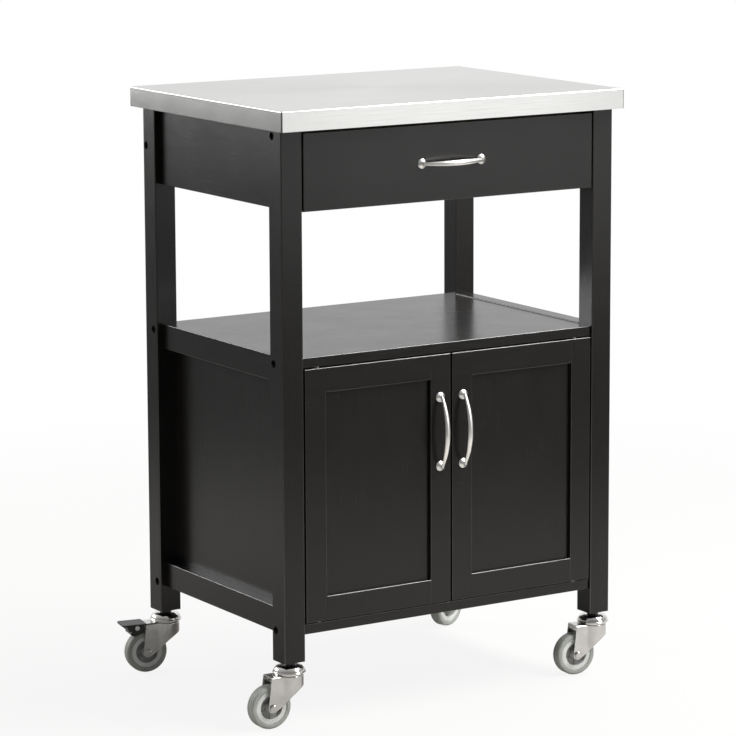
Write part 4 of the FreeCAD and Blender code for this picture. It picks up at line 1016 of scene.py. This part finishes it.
def makeForks():
    for name in casterNames:
        body = f"{name}_caster"
        place = wheelPlace(name)
        fork = dropAxle(mergedCopy(f"{name}_fork"), place.translation, forkShape["axleReach"] * mm)
        fork = softEdges(fork, forkShape["edge"])
        sharpAngle = forkShape["sharpAngle"]
        makePiece(
            f"{name}_pressed_fork", fork, pressedZinc, body, [f"{name}_fork"], sharpAngle
        )
        axle = joined([(lathe(inMetres(axleProfile), forkShape["axleSegments"], False), place)])
        makePiece(f"{name}_axle_bolt", axle, polishedZinc, body)


makeSwivelHeads()
makeForks()
for name in ("rear_left", "rear_right"):
    pedal = softEdges(mergedCopy(f"{name}_pedal"), pedalShape["edge"])
    makePiece(
        f"{name}_brake_pedal",
        pedal,
        blackPlastic,
        f"{name}_brake",
        [f"{name}_pedal"],
        pedalShape["sharpAngle"],
    )
print("casters made")


# Small screws, each group on its own body: heads at these places, pointing along a direction.
def makeScrews(name, body, places, turn):
    form = makeScrew(screwSizes)
    screws = repeated(form, places, turn, fastenerZinc)
    makePiece(name, screws, fastenerZinc, body)


screwSpots = {
    "channelAlong": (-0.165, -0.06, 0.1),
    "channelSheet": 1.2,
    "catchAcross": 0.015,
}


def makeAllScrews():
    channelLow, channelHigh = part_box("runner_channels")
    web = channelHigh.x - screwSpots["channelSheet"] * mm
    height = (channelLow.z + channelHigh.z) / 2
    parts = []
    for side in (-1, 1):
        places = [(side * web, along, height) for along in screwSpots["channelAlong"]]
        turn = (0, -side * math.pi / 2, 0)
        parts.append((repeated(makeScrew(screwSizes), places, turn, fastenerZinc), still))
    makePiece("channel_screws", joined(parts), fastenerZinc, "cart")

    catchLow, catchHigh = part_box("door_catch")
    middle = (catchLow.y + catchHigh.y) / 2
    places = [(side * screwSpots["catchAcross"], middle, catchLow.z) for side in (-1, 1)]
    makeScrews("catch_screws", "cart", places, (math.pi, 0, 0))

    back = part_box("drawer_front")[1].y
    half = handleShape["pitch"] / 2 * mm
    for node, body, name in (
        ("drawer_handle", "drawer", "drawer_handle_screws"),
        ("left_door_handle", "left_door", "left_door_handle_screws"),
        ("right_door_handle", "right_door", "right_door_handle_screws"),
    ):
        low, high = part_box(node)
        centre = (low + high) / 2
        level = high.z - low.z < high.x - low.x
        ends = [(half, 0), (-half, 0)] if level else [(0, half), (0, -half)]
        places = [(centre.x + across, back, centre.z + up) for across, up in ends]
        makeScrews(name, body, places, (-math.pi / 2, 0, 0))


makeAllScrews()
print("screws made")


# Studio: a pale floor that fades into a white backdrop, and soft light from large sources.
studio = {
    "floor": "#b0aeaa",
    "floorWhite": 0.88,  # share of plain white in the floor, as seen directly or in a mirror far off
    "mirrorWhite": 0.0,  # that share in a mirror, close to the object
    "floorSize": 6,
    "solidWithin": 1.0,  # the floor is whole within this distance of the middle
    "goneBeyond": 2.3,  # and gone beyond this one
    "skyBase": 0.42,  # strength of the world, level with the object
    "skyBack": 0.26,  # what it gains towards the back, the left and the zenith
    "skyLeft": -0.15,
    "skyHigh": 0.2,
    "skyLow": 0.24,  # its least strength
    "belowLevel": 0.4,  # share of its light that the world keeps below the horizon
    "horizon": (-0.16, 0.12),  # heights of the way between which that share comes in
    "backdrop": (0.45, 0.85),  # how straight behind the object a mirror has to look to see white
    "backdropHeight": (-0.12, 0.1),
}
lamps = {  # place, target, width and height in metres, power in watts
    "key_softbox": ((1.6, -2.7, 2.0), (0, 0, 0.35), (0.9, 1.6), 27),
    "strip_above_right": ((1.45, -0.95, 2.4), (0.1, -0.9, 0.5), (2.6, 0.85), 160),
    "window_behind_left": ((-1.7, 2.3, 1.26), (0, 0, 1.26), (1.7, 1.0), 50),
    "card_front_right": ((1.65, -2.75, 0.66), (0, 0, 0.66), (1.2, 0.9), 6.0),
}


camera = {  # place in metres, angles in radians, lens and sensor in millimetres
    "place": (-2.77545, -4.38915, 1.41278),
    "yaw": 0.5693,
    "pitch": 0.1678,
    "roll": -0.0028,
    "lens": 168.46,
    "sensor": 36,
    "shift": (-0.0368, -0.05),
}


# White that the camera, mirrors and glass see, without adding light to anything else.
def addSeen(tree):
    path = addNode(tree, "ShaderNodeLightPath")
    mirror = addNode(
        tree,
        "ShaderNodeMath",
        {"operation": "ADD"},
        {0: path.outputs["Is Glossy Ray"], 1: path.outputs["Is Transmission Ray"]},
    )
    return path.outputs["Is Camera Ray"], mirror.outputs[0]


def makeFloor():
    bpy.ops.mesh.primitive_plane_add(size=studio["floorSize"])
    floor = bpy.context.object
    floor.name = "studio_floor"
    material = bpy.data.materials.new("studio_floor_paint")
    material.use_nodes = True
    tree = material.node_tree
    surface = tree.nodes["Principled BSDF"]
    surface.inputs["Base Color"].default_value = linear(studio["floor"])
    surface.inputs["Roughness"].default_value = 0.9
    surface.inputs["Specular IOR Level"].default_value = 0.1
    white = addNode(tree, "ShaderNodeEmission", None, {"Color": (1, 1, 1, 1), "Strength": 1.0})
    direct, mirror = addSeen(tree)
    coords = addNode(tree, "ShaderNodeTexCoord")
    away = addNode(tree, "ShaderNodeVectorMath", {"operation": "LENGTH"}, {0: coords.outputs["Object"]})
    far = addRange(
        tree,
        away.outputs["Value"],
        studio["solidWithin"],
        studio["goneBeyond"],
        studio["mirrorWhite"],
        studio["floorWhite"],
    )
    mirrored = addNode(tree, "ShaderNodeMath", {"operation": "MULTIPLY"}, {0: mirror, 1: far})
    share = addNode(
        tree,
        "ShaderNodeMath",
        {"operation": "MULTIPLY_ADD", "use_clamp": True},
        {0: direct, 1: studio["floorWhite"], 2: mirrored.outputs[0]},
    )
    lit = addNode(
        tree, "ShaderNodeMixShader", None, {0: share.outputs[0], 1: surface.outputs[0], 2: white.outputs[0]}
    )
    fade = addNode(
        tree,
        "ShaderNodeMapRange",
        {"interpolation_type": "SMOOTHSTEP"},
        {0: away.outputs["Value"], 1: studio["solidWithin"], 2: studio["goneBeyond"], 3: 0.0, 4: 1.0},
    )
    clear = addNode(tree, "ShaderNodeBsdfTransparent")
    whole = addNode(
        tree, "ShaderNodeMixShader", None, {0: fade.outputs[0], 1: lit.outputs[0], 2: clear.outputs[0]}
    )
    tree.links.new(whole.outputs[0], tree.nodes["Material Output"].inputs["Surface"])
    floor.data.materials.append(material)


# The world is dimmer towards the front, the left and the ground. Mirrors see it white where they look
# the way the camera looks, past the object, as does the camera everywhere.
def makeWorld():
    world = bpy.data.worlds.new("studio")
    bpy.context.scene.world = world
    world.use_nodes = True
    tree = world.node_tree
    background = tree.nodes["Background"]
    coords = addNode(tree, "ShaderNodeTexCoord")
    way = addNode(tree, "ShaderNodeSeparateXYZ", None, {0: coords.outputs["Generated"]})
    level = studio["skyBase"]
    for axis, share in ((0, -studio["skyLeft"]), (1, studio["skyBack"]), (2, studio["skyHigh"])):
        level = addNode(
            tree, "ShaderNodeMath", {"operation": "MULTIPLY_ADD"}, {0: way.outputs[axis], 1: share, 2: level}
        ).outputs[0]
    above = addNode(tree, "ShaderNodeMath", {"operation": "MAXIMUM"}, {0: level, 1: studio["skyLow"]})
    lowered = addRange(tree, way.outputs[2], *studio["horizon"], studio["belowLevel"], 1.0)
    dim = addNode(tree, "ShaderNodeMath", {"operation": "MULTIPLY"}, {0: above.outputs[0], 1: lowered})
    facing = addNode(
        tree,
        "ShaderNodeVectorMath",
        {"operation": "DOT_PRODUCT"},
        {0: coords.outputs["Generated"], 1: (math.sin(camera["yaw"]), math.cos(camera["yaw"]), 0)},
    )
    behind = addRange(tree, facing.outputs["Value"], *studio["backdrop"], 0.0, 1.0)
    raised = addRange(tree, way.outputs[2], *studio["backdropHeight"], 0.0, 1.0)
    backdrop = addNode(tree, "ShaderNodeMath", {"operation": "MULTIPLY"}, {0: behind, 1: raised})
    direct, mirror = addSeen(tree)
    mirrored = addNode(
        tree, "ShaderNodeMath", {"operation": "MULTIPLY"}, {0: mirror, 1: backdrop.outputs[0]}
    )
    shown = addNode(
        tree, "ShaderNodeMath", {"operation": "ADD", "use_clamp": True}, {0: mirrored.outputs[0], 1: direct}
    )
    strength = addRange(tree, shown.outputs[0], 0.0, 1.0, dim.outputs[0], 1.0)
    background.inputs["Color"].default_value = (1, 1, 1, 1)
    tree.links.new(strength, background.inputs["Strength"])


def makeLamps():
    for name, (place, target, (width, height), power) in lamps.items():
        lamp = bpy.data.lights.new(name, "AREA")
        lamp.shape = "RECTANGLE"
        lamp.size, lamp.size_y = width, height
        lamp.energy = power
        holder = bpy.data.objects.new(name, lamp)
        holder.location = place
        holder.rotation_euler = (Vector(target) - Vector(place)).to_track_quat("-Z", "Y").to_euler()
        holder.visible_camera = False
        bpy.context.scene.collection.objects.link(holder)


def makeCamera():
    data = bpy.data.cameras.new("camera")
    data.lens = camera["lens"]
    data.sensor_width = camera["sensor"]
    data.shift_x, data.shift_y = camera["shift"]
    holder = bpy.data.objects.new("camera", data)
    bpy.context.scene.collection.objects.link(holder)
    yaw, pitch, roll = camera["yaw"], camera["pitch"], camera["roll"]
    forward = Vector((math.sin(yaw) * math.cos(pitch), math.cos(yaw) * math.cos(pitch), -math.sin(pitch)))
    level = Vector((math.cos(yaw), -math.sin(yaw), 0))
    upward = level.cross(forward)
    right = level * math.cos(roll) + upward * math.sin(roll)
    top = upward * math.cos(roll) - level * math.sin(roll)
    turn = Matrix((right, top, -forward)).transposed().to_4x4()
    holder.matrix_world = Matrix.Translation(camera["place"]) @ turn
    bpy.context.scene.camera = holder


makeFloor()
makeWorld()
makeLamps()
makeCamera()
bpy.context.scene.view_settings.view_transform = "Standard"
print("studio made")
